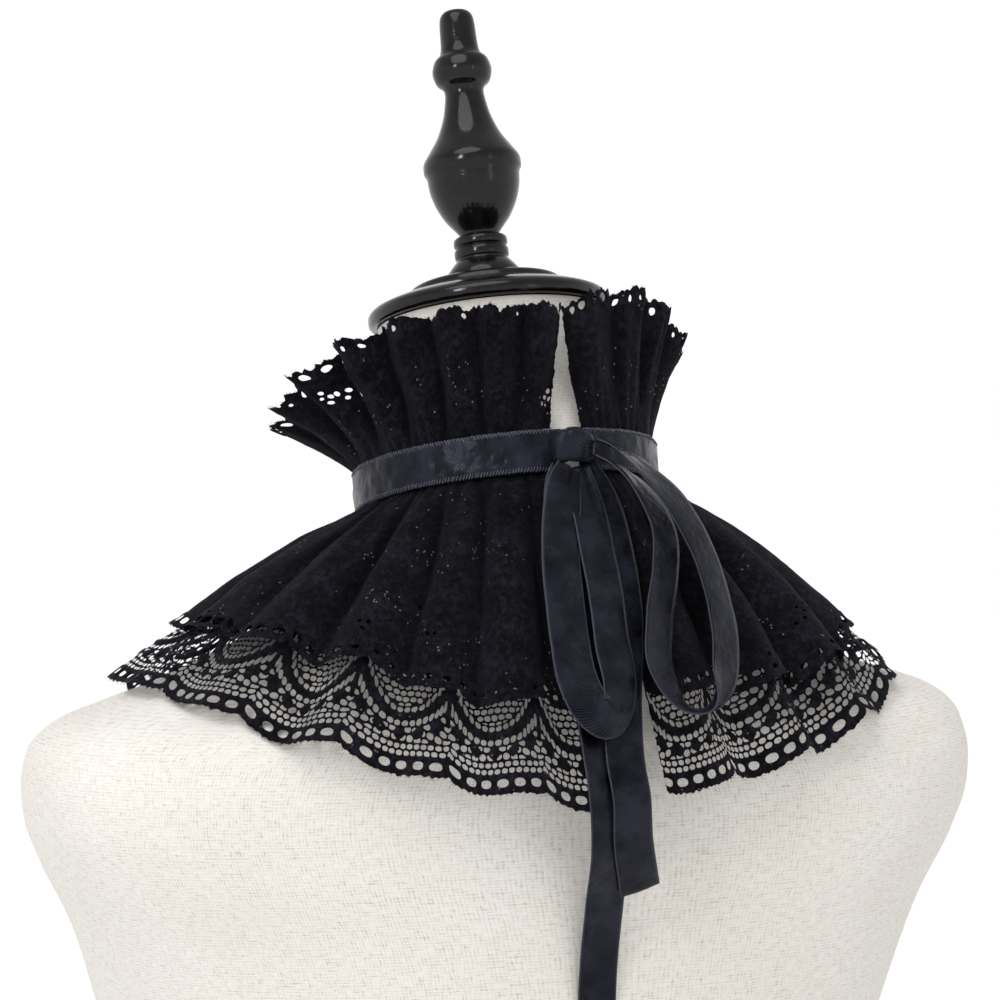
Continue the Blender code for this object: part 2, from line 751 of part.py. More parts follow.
def build():
    clear_scene()
    knit = make_material("ecru_knit", (0.80, 0.755, 0.68), 0.9)
    wood = make_material("black_wood", (0.012, 0.010, 0.010), 0.22, coat=0.6)
    lace = make_material("black_lace", (0.012, 0.012, 0.016), 0.85)
    satin = make_material("black_satin", (0.016, 0.019, 0.028), 0.42)
    build_form(knit)
    build_turned("neck_cap", CAP_ROWS, CAP_SIDES, wood)
    build_turned("finial", FINIAL_ROWS, FINIAL_SIDES, wood)
    build_frill(lace)
    build_upper_tier(lace)
    build_lower_tier(lace)
    build_neck_ribbon(satin)
    build_knot(satin)
    build_ribbon("bow_loop_long", LONG_LOOP_ROUTE, satin)
    build_ribbon("bow_loop_open", OPEN_LOOP_ROUTE, satin)
    build_ribbon("bow_tail_short", SHORT_TAIL_ROUTE, satin)
    build_ribbon("bow_tail_long", LONG_TAIL_ROUTE, satin)


build()
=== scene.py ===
"""Looks of a detachable black lace collar, tied with a ribbon at the back of a limbless dress form.

Sizes are in millimetres from the middle of the neck ring, and place() and place_all() move them to the
form's foot, in metres. On a strip of lace, u runs from the opening's left edge round the front to its right
edge, and y goes up from the valleys between its scallops.
"""

import math
from collections import namedtuple

import bmesh
import bpy
import numpy as np
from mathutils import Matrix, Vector


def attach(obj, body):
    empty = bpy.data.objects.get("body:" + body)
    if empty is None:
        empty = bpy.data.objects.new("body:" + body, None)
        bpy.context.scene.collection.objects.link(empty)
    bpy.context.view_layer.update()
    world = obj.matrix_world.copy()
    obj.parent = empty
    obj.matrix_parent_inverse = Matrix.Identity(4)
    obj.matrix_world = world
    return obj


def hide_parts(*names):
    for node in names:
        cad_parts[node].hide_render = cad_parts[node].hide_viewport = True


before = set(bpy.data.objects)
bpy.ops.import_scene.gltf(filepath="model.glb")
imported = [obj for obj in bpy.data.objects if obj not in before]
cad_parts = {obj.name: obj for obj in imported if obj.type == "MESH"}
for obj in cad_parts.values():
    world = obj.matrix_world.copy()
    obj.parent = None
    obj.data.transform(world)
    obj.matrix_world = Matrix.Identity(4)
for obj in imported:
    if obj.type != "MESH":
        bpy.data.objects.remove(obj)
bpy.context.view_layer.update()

MM = 0.001
BODY = "root"


def table(columns, rows, defaults=()):
    """Rows of numbers whose columns have names; the last ones may be left out where they have defaults."""
    row_type = namedtuple("Row", columns, defaults=defaults)
    return [row_type(*row) for row in rows]


# The collar's and the form's sizes, as the solids have them

NECK_Y = 0.8
NECK_Z = 580.0
NECK_LEAN = math.radians(14.5)

LOWER_TIER_SEAT = 57.2
UPPER_LACE_SEAT = 59.0
RIBBON_SEAT = 61.0
RIBBON_WIDTH = 16.0
RIBBON_HALF = RIBBON_WIDTH / 2

LOWER_TIER_START = -RIBBON_HALF - 2.0
FRILL_START = RIBBON_HALF + 0.5

SCALLOPS = 23
EYELETS_PER_SCALLOP = 6
SCALLOP_DEPTH = 4.5
EDGE_CORD = 2.8
EYELET_HEIGHT = 3.4
EYELET_SHARE = 0.64

BACK_HALF_GAP = 7.5
HEM_LEFT_ANGLE = 1.0
HEM_RIGHT_ANGLE = -6.5
PULL_SHARE = 0.25
UPPER_HEM_PULL = 0.7

FORM_ROWS = table("z y half_width half_depth lean squareness", (
    (63.1, -16.3, 45.0, 45.0, 14.5, 2.0),
    (44.0, -11.4, 46.5, 46.5, 14.5, 2.0),
    (20.0, -5.2, 52.0, 52.0, 14.5, 2.0),
    (0.0, 0.0, 56.0, 56.0, 14.5, 2.0),
    (-12.0, 2.9, 55.8, 55.8, 13.0, 2.0),
    (-23.0, 3.5, 60.5, 60.0, 10.0, 2.0),
    (-36.0, 4.0, 74.0, 66.0, 7.0, 2.0),
    (-48.0, 4.0, 91.0, 70.5, 5.0, 2.0),
    (-58.0, 4.0, 108.0, 74.0, 3.0, 2.0),
    (-67.0, 3.5, 127.0, 77.0, 1.0, 2.0),
    (-77.0, 3.0, 151.0, 79.5, 0.0, 2.0),
    (-83.0, 3.0, 171.5, 81.0, 0.0, 2.0),
    (-88.5, 3.0, 187.0, 82.5, 0.0, 2.1),
    (-94.0, 3.0, 195.0, 84.5, 0.0, 2.2),
    (-101.0, 2.5, 199.5, 86.5, 0.0, 2.3),
    (-112.0, 2.5, 200.5, 89.0, 0.0, 2.5),
    (-128.0, 2.0, 198.5, 91.0, 0.0, 2.6),
    (-146.0, 0.5, 191.0, 94.0, 0.0, 2.6),
    (-172.0, -3.0, 177.0, 98.0, 0.0, 2.5),
    (-208.0, -8.0, 164.0, 103.5, 0.0, 2.4),
    (-245.0, -11.0, 154.0, 104.5, 0.0, 2.3),
    (-300.0, -10.0, 137.0, 92.0, 0.0, 2.2),
    (-345.0, -8.0, 123.0, 81.0, 0.0, 2.2),
    (-385.0, -6.0, 119.0, 78.0, 0.0, 2.2),
    (-425.0, -4.0, 128.0, 83.0, 0.0, 2.2),
    (-475.0, -3.0, 149.0, 93.0, 0.0, 2.3),
    (-525.0, -2.0, 163.0, 99.0, 0.0, 2.3),
    (-580.0, -2.0, 166.0, 100.0, 0.0, 2.3),
))

CAP_ROWS = table("height radius", (
    (65.6, 44.0),
    (65.6, 47.0),
    (66.8, 48.4),
    (70.0, 48.6),
    (72.2, 47.0),
    (74.6, 41.0),
    (76.6, 33.5),
    (77.0, 31.0),
    (79.4, 30.4),
    (80.6, 28.0),
    (81.6, 16.2),
))
FINIAL_ROWS = table("height radius", (
    (81.9, 15.6),
    (85.0, 14.6),
    (88.0, 12.2),
    (90.0, 10.2),
    (91.0, 11.0),
    (94.0, 11.0),
    (95.0, 10.0),
    (96.0, 11.0),
    (99.0, 10.8),
    (100.0, 7.6),
    (102.5, 9.4),
    (107.0, 13.2),
    (113.0, 16.4),
    (119.5, 18.4),
    (125.5, 18.8),
    (127.0, 19.9),
    (131.0, 19.9),
    (134.5, 17.6),
    (141.5, 12.8),
    (150.0, 9.4),
    (161.0, 7.4),
    (163.5, 11.0),
    (168.5, 12.4),
    (173.5, 11.0),
    (176.0, 7.6),
    (191.0, 7.2),
    (193.6, 5.2),
    (194.4, 2.4),
))

GATHER_ROWS = table("groove hem_rise frill_rise", (
    (7.5, 4.0, 5.0),
    (19.0, 6.0, 6.5),
    (33.0, 6.5, 7.5),
    (47.0, 5.5, 7.5),
    (62.0, 4.5, 8.5),
    (79.0, 3.5, 7.0),
    (97.0, 3.5, 6.5),
    (114.0, 4.0, 8.0),
    (131.0, 5.5, 8.0),
    (148.0, 6.5, 7.0),
    (165.0, 6.0, 8.5),
    (182.0, 7.0, 7.5),
    (199.0, 6.0, 8.0),
    (216.0, 6.0, 7.0),
    (233.0, 4.0, 8.0),
    (250.0, 3.5, 6.5),
    (267.0, 3.5, 6.0),
    (284.0, 5.0, 5.0),
    (300.0, 9.0, 4.0),
    (316.0, 9.5, 3.5),
    (333.0, 6.0, 3.0),
))
LAST_GROOVE = 352.5
GROOVES = np.array([row.groove for row in GATHER_ROWS] + [LAST_GROOVE])

HEM_ROWS = table("angle lower_radius lower_z upper_radius bulge", (
    (0.0, 117.0, -117.5, 98.0, 3.0),
    (30.0, 124.5, -107.0, 106.0, 2.0),
    (57.0, 142.0, -90.0, 117.0, 2.0),
    (78.0, 154.0, -76.5, 127.0, 1.5),
    (90.0, 156.0, -74.5, 129.0, 1.5),
    (102.0, 154.5, -76.5, 128.0, 1.5),
    (130.0, 142.0, -92.0, 116.0, 1.0),
    (155.0, 129.0, -112.0, 103.0, 1.5),
    (180.0, 122.0, -125.0, 98.0, 2.0),
    (205.0, 130.0, -114.0, 104.0, 1.0),
    (230.0, 145.0, -93.0, 118.0, -0.5),
    (256.0, 156.0, -77.0, 131.0, 0.5),
    (270.0, 158.5, -74.5, 134.0, 1.5),
    (284.0, 156.5, -78.5, 134.0, 3.0),
    (300.0, 145.5, -90.0, 127.0, 4.5),
    (318.0, 128.0, -101.0, 112.0, 3.5),
    (338.0, 117.0, -108.0, 100.0, 2.0),
    (360.0, 116.0, -113.0, 98.0, 3.0),
))
NECK_TO_OUTSIDE = 60.0
SLOPE_STEP = 0.002
SLOPE_START = 0.01
UPPER_TIER_LIFT = 1.0
GATHER_GROWTH = 0.5
GATHER_POWER = 0.8

FRILL_ROWS = table("angle radius height", (
    (0.0, 66.0, 53.0),
    (25.0, 67.0, 54.0),
    (45.0, 69.0, 54.0),
    (60.0, 71.0, 52.0),
    (75.0, 75.0, 48.0),
    (90.0, 81.0, 42.0),
    (105.0, 84.0, 36.0),
    (120.0, 84.0, 32.0),
    (150.0, 83.0, 34.0),
    (180.0, 80.0, 38.0),
    (210.0, 80.0, 42.0),
    (240.0, 78.0, 46.0),
    (270.0, 76.0, 48.0),
    (292.0, 72.0, 50.0),
    (305.0, 69.0, 56.0),
    (320.0, 67.0, 61.0),
    (340.0, 65.0, 60.0),
    (360.0, 65.0, 55.0),
))
FRILL_TOP_LEFT = 0.5
FRILL_TOP_RIGHT = -2.5
FRILL_SCALLOPS = 18
FRILL_SCALLOP_DEPTH = 3.0
FRILL_HEIGHT = 46.0
FLARE_POWER = 1.4

RIBBON_BACK_GAP = 3.0


def route(*rows):
    """The middle line of a ribbon of the bow, with its width's turn in degrees and its width."""
    return table("x y z width_turn width", rows, (0.0, RIBBON_WIDTH))


LONG_LOOP_ROUTE = route(
    (5.0, 67.9, 8.7, 0.0, 11.0),
    (9.5, 73.0, 1.0, -5.0, 15.0),
    (14.5, 80.5, -12.0, -5.0),
    (19.0, 90.0, -26.0, -5.0),
    (21.5, 98.5, -40.0, -5.0),
    (23.5, 107.0, -54.0, -5.0),
    (24.5, 115.0, -67.0, -5.0),
    (22.0, 121.0, -77.0),
    (16.5, 123.5, -82.0, 10.0),
    (10.5, 121.0, -80.0, 15.0),
    (7.0, 116.0, -70.0, 10.0),
    (6.0, 107.5, -55.0, 5.0),
    (3.5, 97.0, -38.0, 5.0),
    (1.5, 84.5, -20.0, 5.0),
    (0.5, 75.5, -6.0, 5.0, 15.0),
    (1.0, 66.1, 8.7, 0.0, 11.0),
)
OPEN_LOOP_ROUTE = route(
    (-7.5, 66.8, 19.0, 85.0, 9.0),
    (-13.5, 70.5, 16.5, 60.0, 12.0),
    (-22.0, 77.0, 9.0, 40.0, 15.0),
    (-32.5, 85.5, -5.0, 28.0),
    (-40.5, 94.0, -25.0, 28.0),
    (-43.5, 101.0, -44.0, 28.0),
    (-42.0, 109.0, -60.0, 28.0),
    (-36.0, 117.0, -73.0, 35.0),
    (-26.0, 121.5, -81.0, 60.0),
    (-16.0, 120.0, -77.5, 45.0),
    (-12.0, 112.5, -64.5, 30.0),
    (-16.0, 104.0, -47.0, 28.0),
    (-22.5, 96.0, -30.0, 28.0),
    (-25.5, 88.5, -14.5, 30.0),
    (-21.0, 80.0, 0.0, 40.0, 15.0),
    (-13.5, 73.0, 9.0, 60.0, 12.0),
    (-7.9, 67.2, 12.6, 85.0, 8.0),
)
SHORT_TAIL_ROUTE = route(
    (-3.0, 64.3, 8.7, 0.0, 11.0),
    (-5.5, 68.6, 1.0, 0.0, 15.0),
    (-8.0, 75.5, -12.0),
    (-6.0, 91.5, -38.0),
    (-1.0, 103.5, -58.0),
    (4.5, 113.5, -78.0),
    (7.5, 122.2, -98.0),
    (7.5, 127.8, -113.0),
    (5.0, 124.2, -130.0),
    (-3.5, 113.0, -150.0),
)
LONG_TAIL_ROUTE = route(
    (4.0, 62.4, 8.7, 0.0, 11.0),
    (7.0, 66.5, 1.0, 0.0, 15.0),
    (9.5, 73.0, -12.0),
    (12.0, 89.5, -38.0),
    (14.0, 101.5, -58.0),
    (15.5, 111.5, -78.0),
    (16.0, 120.0, -98.0),
    (16.0, 125.2, -113.0),
    (13.0, 120.6, -134.0),
    (8.5, 106.0, -158.0),
    (7.5, 98.5, -190.0),
    (8.0, 96.5, -250.0),
)

KNOT_CENTRE = (1.5, 64.8, 15.9)
KNOT_HALF = (8.5, 4.6, 6.8)
KNOT_END = 0.94
KNOT_ARCH = 2.0

# How squared-off the knot is along the ribbon and round it: 2 is an ellipse
KNOT_ALONG = 3.4
KNOT_ROUND = 2.8

# The lace

# Length of the lace round the hem, and of one repeat
LACE_LENGTH = 913.0
HALF_LACE = LACE_LENGTH / 2
PITCH = LACE_LENGTH / SCALLOPS
EYELET_PITCH = PITCH / EYELETS_PER_SCALLOP

# The tiers' eyelets: distance between them, the cord below them, their height and half their width
TIER_EYELETS = (EYELET_PITCH, EDGE_CORD, EYELET_HEIGHT, EYELET_PITCH * EYELET_SHARE / 2)

# The bars between eyelets are centred on the valleys of the solids' edge this far along
CHART_SHIFT = EYELET_PITCH * (1.0 - EYELET_SHARE) / 2

# Heights up from the edge where the upper cord ends and the small net ends
CORD_TOP = EDGE_CORD + EYELET_HEIGHT + 1.9
SMALL_NET_TOP = CORD_TOP + 5.4

# The swag: height of its foot over the valleys, rise to its cusps, and the power of its curve
SWAG_FOOT = 19.6
SWAG_RISE = 17.0
SWAG_POWER = 2.6
CORD_HALF = 1.45

# Lengths along a swag's cord from its foot, for shares of the way to its cusp, and the holes that follow it
SWAG_SHARES = np.linspace(0.0, 1.0, 101)
SWAG_STEPS = np.hypot(np.diff(SWAG_SHARES) * PITCH / 2, np.diff(SWAG_RISE * SWAG_SHARES ** SWAG_POWER))
SWAG_ARC = np.concatenate(([0.0], np.cumsum(SWAG_STEPS)))
SWAG_CELL = 2 * SWAG_ARC[-1] / 17

# The hem's nets: distances between their holes, and half a hole's width and height
SMALL_NET, MIDDLE_NET, GROUND_NET, FOOT_NET, HEAD_NET = table("pitch_x pitch_y half_x half_y", (
    (PITCH / 14, 2.7, 1.12, 1.05),
    (PITCH / 12, 2.8, 1.36, 1.12),
    (PITCH / 12, 2.7, 1.39, 1.08),
    (SWAG_CELL, 2.8, 0.40 * SWAG_CELL, 1.12),
    (SWAG_CELL, 2.7, 0.40 * SWAG_CELL, 1.08),
))
NET_THREAD_HALF = 0.25

# The flowers over the swags: middle, reach of the petals, and their number
FLOWERS = table("x y size petals", (
    (0.0, 50.0, 7.6, 6),
    (PITCH / 2, 45.0, 5.2, 5),
    (-PITCH / 2, 45.0, 5.2, 5),
))

# Distances between the holes of the close lace
DENSE_PITCH_X = 3.6
DENSE_PITCH_Y = 2.9

# Distances between the grid lines that the lace is cut on, and the room left outside an edge
HEM_GRID = 0.47
UPPER_GRID = 0.62
UPPER_TOP_GRID = 1.0
FRILL_GRID = 0.61
EDGE_ROOM = 1.2
LAST_LINE_ROOM = 0.1

# The least that a grid point counts as inside thread or hole, which keeps slivers out of the mesh
LEAST_FIELD = 0.04

# Heights over the valleys where the tiers' hem pieces end, and how far the next pieces lap them
HEM_TOP = 47.0
UPPER_SPLIT = 34.0
PIECE_LAP = 1.0

# Wandering folds: how many round a strip and how high, how far each strays as a share of its width, and the
# stray's hills round the strip and their length down it
FINE_PUCKERS, WIDE_PUCKERS, FRILL_PUCKERS, FRILL_RIPPLES = table("count height stray hills reach seed", (
    (72.0, 0.42, 0.9, 30.0, 60.0, 5),
    (39.0, 0.62, 0.8, 18.0, 80.0, 6),
    (66.0, 0.4, 0.8, 26.0, 50.0, 21),
    (47.0, 0.6, 0.9, 20.0, 60.0, 22),
))

# How far creases stray from their grooves, in degrees, and the stray's hills, their length down it and seed
UPPER_STRAY = (1.6, 24.0, 40.0, 12)
FRILL_STRAY = (1.8, 22.0, 30.0, 24)


def place_all(points):
    """Points in metres over the form's foot, from millimetres round the neck ring's middle."""
    return (points + np.array((0.0, NECK_Y, NECK_Z))) * MM


def place(x, y, z):
    return Vector((x, y + NECK_Y, z + NECK_Z)) * MM


def smooth_step(t):
    return t * t * (3.0 - 2.0 * t)


def noise(x, y, seed):
    """Smooth random heights from -1 to 1, one hill or hollow about each unit."""
    size = 64
    grid = np.random.default_rng(seed).uniform(-1.0, 1.0, (size, size))
    column, row = np.floor(x).astype(int), np.floor(y).astype(int)
    right, up = smooth_step(x - column), smooth_step(y - row)
    a = grid[row % size, column % size]
    b = grid[row % size, (column + 1) % size]
    c = grid[(row + 1) % size, column % size]
    d = grid[(row + 1) % size, (column + 1) % size]
    return (a * (1 - right) + b * right) * (1 - up) + (c * (1 - right) + d * right) * up


def ring_point(angle, radius, height):
    """Points round the leaning neck: angle from the back in degrees, radius, height up the neck axis."""
    turn = np.radians(angle)
    back = radius * np.cos(turn)
    lean_cos, lean_sin = math.cos(NECK_LEAN), math.sin(NECK_LEAN)
    parts = (radius * np.sin(turn), back * lean_cos - height * lean_sin, back * lean_sin + height * lean_cos)
    return np.stack(np.broadcast_arrays(*parts), axis=-1)


def look_up(rows, angle, column):
    """A column of a table read smoothly between the rows on either side of each angle."""
    at = np.array([row.angle for row in rows])
    values = np.array([getattr(row, column) for row in rows])
    angle = np.mod(angle, 360.0)
    low = np.clip(np.searchsorted(at, angle, side="right") - 1, 0, len(at) - 2)
    share = smooth_step((angle - at[low]) / (at[low + 1] - at[low]))
    return values[low] * (1.0 - share) + values[low + 1] * share


def gather_rise(angle, column):
    """How far the cloth stands out of its grooves at each angle round the neck ring."""
    rises = np.array([getattr(row, column) for row in GATHER_ROWS])
    low = np.clip(np.searchsorted(GROOVES, angle, side="right") - 1, 0, len(rises) - 1)
    share = np.clip((angle - GROOVES[low]) / (GROOVES[low + 1] - GROOVES[low]), 0.0, 1.0)
    return rises[low] * np.sin(math.pi * share) ** 2


def neck_angle(share):
    return BACK_HALF_GAP + share * (360.0 - 2 * BACK_HALF_GAP)


def drift(share, left, right, amount):
    """Degrees to add to neck_angle(share): with amount 1, the back edges reach left and right."""
    fade_left = np.maximum(0.0, 1.0 - share / PULL_SHARE) ** 2
    fade_right = np.maximum(0.0, 1.0 - (1.0 - share) / PULL_SHARE) ** 2
    return amount * ((left - BACK_HALF_GAP) * fade_left + (right + BACK_HALF_GAP) * fade_right)


def unit(vectors):
    return vectors / np.linalg.norm(vectors, axis=-1, keepdims=True)


def tier_base(share, down):
    """The middle of the lower tier's wall: share of the way round, down from ribbon (0) to hem (1)."""
    share, down = np.broadcast_arrays(share, down)
    angle = neck_angle(share)
    hem_angle = angle + drift(share, HEM_LEFT_ANGLE, HEM_RIGHT_ANGLE, 1.0)
    start = ring_point(angle, LOWER_TIER_SEAT, LOWER_TIER_START)
    turn = np.radians(hem_angle)
    zero = np.zeros_like(turn)
    around = np.stack((np.sin(turn), np.cos(turn), zero), axis=-1)
    along = np.stack((np.cos(turn), -np.sin(turn), zero), axis=-1)
    hem = around * look_up(HEM_ROWS, hem_angle, "lower_radius")[..., None]
    hem[..., 2] = look_up(HEM_ROWS, hem_angle, "lower_z")
    out = np.cross(along, unit(hem - start))
    out *= np.sign(np.sum(out * around, axis=-1))[..., None]
    at = np.maximum(down, 0.0)
    rise = gather_rise(angle, "hem_rise") * np.minimum(1.0, at / GATHER_GROWTH) ** GATHER_POWER
    bulge = look_up(HEM_ROWS, hem_angle, "bulge") * np.sin(math.pi * np.minimum(at, 1.0) ** GATHER_POWER)
    return start + (hem - start) * at[..., None] + out * (rise + bulge)[..., None]


def tier_normal(share, down):
    """The direction out of the lower tier at each point."""
    share, down = np.broadcast_arrays(share, down)
    before, after = np.maximum(share - SLOPE_STEP, 0.0), np.minimum(share + SLOPE_STEP, 1.0)
    side = tier_base(after, down) - tier_base(before, down)
    low = np.maximum(down, SLOPE_START)
    run = tier_base(share, low + SLOPE_STEP) - tier_base(share, low)
    out = unit(np.cross(side, run))
    centre = tier_base(share, low)
    centre[..., 2] = NECK_TO_OUTSIDE
    return out * np.sign(np.sum(out * centre, axis=-1))[..., None]


def tier_length(share):
    return np.linalg.norm(tier_base(share, 1.0) - tier_base(share, 0.001), axis=-1)


def upper_share_down(share):
    """How far down the lower tier the upper tier's hem comes."""
    angle = neck_angle(share) + drift(share, HEM_LEFT_ANGLE, HEM_RIGHT_ANGLE, UPPER_HEM_PULL)
    lower = look_up(HEM_ROWS, angle, "lower_radius") - LOWER_TIER_SEAT
    upper = look_up(HEM_ROWS, angle, "upper_radius") - LOWER_TIER_SEAT
    return upper / lower


def crease(angle, width):
    """1 at the bottom of each groove, falling to 0 a few degrees to its sides."""
    nearest = np.min(np.abs(angle[..., None] - GROOVES), axis=-1)
    return np.exp(-(nearest / width) ** 2)


def waves(folds, share, below):
    """How high folds stand that wander as they go down the cloth."""
    stray = folds.stray * noise(share * folds.hills, below / folds.reach, folds.seed)
    return folds.height * np.sin(2 * math.pi * (share * folds.count + stray))


def strayed_angle(share, below, stray, hills, reach, seed):
    """The neck angle, moved as the creases wander on their way down the cloth."""
    return neck_angle(share) + stray * noise(share * hills, below / reach, seed)


def puckers(share, below):
    """Fine gathers under the ribbon that spread and soften further down, and the cloth's uneven lie."""
    fine = waves(FINE_PUCKERS, share, below) * np.exp(-below / 16.0)
    wide = waves(WIDE_PUCKERS, share, below) * np.exp(-((below - 26.0) / 24.0) ** 2)
    uneven = 0.7 * noise(share * 46.0, below / 26.0, 7) * np.clip(below / 40.0, 0.0, 1.0)
    return fine + wide + uneven


def lower_surface(u, y):
    share = u / LACE_LENGTH
    length = tier_length(share)
    down = 1.0 - y / length
    lift = puckers(share, down * length)
    return tier_base(share, down) + tier_normal(share, down) * lift[..., None]


def upper_surface(u, y):
    share = u / LACE_LENGTH
    length = tier_length(share)
    down = np.maximum(upper_share_down(share) - y / length, 0.0)
    below = down * length
    painted_light_spots = UPPER_LACE_SEAT - LOWER_TIER_SEAT + UPPER_TIER_LIFT * np.minimum(1.0, down / GATHER_GROWTH)
    lift = painted_light_spots + puckers(share, below) + 0.45 * noise(share * 70.0, below / 12.0, 11)
    fold = crease(strayed_angle(share, below, *UPPER_STRAY), 2.6) * np.clip(below / 22.0, 0.0, 1.0)
    lift = lift + 0.9 * np.clip(below / 30.0, 0.0, 1.0) - 2.3 * fold
    return tier_base(share, down) + tier_normal(share, down) * lift[..., None]


def frill_base(share, up):
    share, up = np.broadcast_arrays(share, up)
    angle = neck_angle(share)
    top_angle = angle + drift(share, FRILL_TOP_LEFT, FRILL_TOP_RIGHT, 1.0) * np.minimum(up, 1.0)
    radius = look_up(FRILL_ROWS, top_angle, "radius")
    height = look_up(FRILL_ROWS, top_angle, "height")
    at = np.maximum(up, 0.0)
    rise = gather_rise(angle, "frill_rise") * at ** GATHER_POWER
    out = UPPER_LACE_SEAT + (radius - UPPER_LACE_SEAT) * at ** FLARE_POWER + rise
    return ring_point(top_angle, out, FRILL_START + (height - FRILL_START) * at)


# Length of the frill's lace along its edge, its eyelets as the tiers' are given, and the height where they end
FRILL_LENGTH = 600.0
FRILL_PITCH = FRILL_LENGTH / FRILL_SCALLOPS
FRILL_EYELETS = (FRILL_PITCH / 5, 2.2, 2.5, 1.3)
FRILL_BAND = 6.4

# How far the frill's loose back edges reach past its solid's
BACK_EXTRA = 3.0


def frill_surface(u, y):
    """The frill upside down: y goes from its edge, at 0, down to the ribbon."""
    share = u / FRILL_LENGTH
    up = 1.0 - y / FRILL_HEIGHT
    turn = np.radians(neck_angle(share))
    out = np.stack(np.broadcast_arrays(np.sin(turn), np.cos(turn), 0.0 * turn), axis=-1)
    above = np.clip(up, 0.0, 1.2) * FRILL_HEIGHT
    fine = waves(FRILL_PUCKERS, share, above) * np.exp(-above / 14.0)
    ripple = waves(FRILL_RIPPLES, share, above) * np.clip(above / 40.0, 0.0, 1.0)
    curl = 1.3 * noise(share * 60.0, above / 9.0, 23) * np.clip((above - 26.0) / 16.0, 0.0, 1.0)
    fold = 2.0 * crease(strayed_angle(share, above, *FRILL_STRAY), 2.2) * np.clip(above / 18.0, 0.1, 1.0)
    return frill_base(share, up) + out * (fine + ripple + curl - fold)[..., None]


def lattice(x, y, pitch_x, pitch_y, half_x, half_y):
    """The thread of a net with staggered round-cornered holes: positive on thread, in mm."""
    row = np.floor(y / pitch_y)
    shift = np.mod(row, 2) * 0.5
    dy = y - (row + 0.5) * pitch_y
    dx = (np.mod(x / pitch_x + shift, 1.0) - 0.5) * pitch_x
    around = ((np.abs(dx) / half_x) ** 2.5 + (np.abs(dy) / half_y) ** 2.5) ** 0.4
    return (around - 1.0) * np.minimum(half_x, half_y)


def wobble(u, y, amount, seed):
    """A place on the lace moved a little, so that no two holes are alike."""
    return u + amount * noise(u / 5.0, y / 4.0, seed), y + amount * noise(u / 6.0, y / 5.0, seed + 1)


def along_edge(u, reach, seed, row=0.0):
    """Smooth random heights along an edge, one hill or hollow about each reach."""
    return noise(u / reach, 0 * u + row, seed)


def scallop_edge(u, pitch, depth):
    return -depth * np.sqrt(np.abs(np.sin(math.pi * u / pitch)))


def eyelets(u, up, pitch, cord, height, half_width):
    """The row of eyelets: negative inside them."""
    x = (np.mod(u / pitch, 1.0) - 0.5) * pitch
    y = up - cord - height / 2
    around = ((np.abs(x) / half_width) ** 2.4 + (np.abs(y) / (height / 2)) ** 2.4) ** (1 / 2.4)
    return (around - 1.0) * height / 2


def eyelet_band(up, top, holes):
    """The clothwork along an edge up to a height, with its row of eyelets: positive on thread."""
    return np.minimum(np.maximum(np.minimum(up, top - up), 0.6), holes)


def picots(u, up):
    """Where the edge ends, with its small uneven loops."""
    loops = 0.5 * np.abs(np.sin(math.pi * u / 2.9 + 1.2 * along_edge(u, 11.0, 31)))
    return up + loops - 0.3 + 0.42 * along_edge(u, 1.1, 32)


def hem_net(u, y, up, x, aside, from_swag):
    """The hem's nets, and the rows of holes along both sides of the swags: positive on thread."""
    small = lattice(u, up - CORD_TOP, *SMALL_NET)
    follow_edge = (up - y) * np.exp(-np.maximum(up - CORD_TOP, 0.0) / 12.0)
    middle = lattice(u, y + follow_edge + 3.0 * aside ** 2 - 6.6, *MIDDLE_NET)
    seam = 0.35 - np.abs(up - SMALL_NET_TOP)
    net = np.maximum(np.where(up < SMALL_NET_TOP, small, middle), seam)
    net = np.where(from_swag > 0.0, lattice(u, y - 1.3, *GROUND_NET), net)

    along = np.interp(aside, SWAG_SHARES, SWAG_ARC) * np.sign(x)
    over_small = up > SMALL_NET_TOP
    at_foot = (from_swag < -CORD_HALF) & (from_swag > -CORD_HALF - FOOT_NET.pitch_y) & over_small
    net = np.where(at_foot, lattice(along, -from_swag - CORD_HALF, *FOOT_NET), net)
    at_head = (from_swag > CORD_HALF) & (from_swag < CORD_HALF + HEAD_NET.pitch_y)
    net = np.where(at_head, lattice(along, from_swag - CORD_HALF, *HEAD_NET), net)
    net = np.maximum(net, NET_THREAD_HALF - np.abs(from_swag - CORD_HALF - 2.8))
    foot_thread = NET_THREAD_HALF - np.abs(from_swag + CORD_HALF + 2.9)
    return np.where(over_small, np.maximum(net, foot_thread), net)


def hem_clothwork(u, y, aside, from_swag):
    """The buds, the swags' cords with their stems, and the flowers: positive on thread."""
    bud_x = (np.mod(u / (PITCH / 5), 1.0) - 0.5) * PITCH / 5
    arc = 12.4 + 8.6 * aside ** 2.4
    bud_y = 1.08 * (y - arc)
    buds = 2.15 - 0.8 * (np.abs(bud_x) ** 1.4 + np.abs(bud_y) ** 1.4) ** (1 / 1.4)
    cord = CORD_HALF - 0.35 * aside ** 2 - np.abs(from_swag)
    from_cusp = (1.0 - aside) * PITCH / 2
    stem = np.minimum(0.9 + 0.07 * np.maximum(y - 33.0, 0.0) - from_cusp, (y - 19.0) * 0.4)
    return np.maximum.reduce([buds, cord, stem, veil_of_flowers(u, y)])


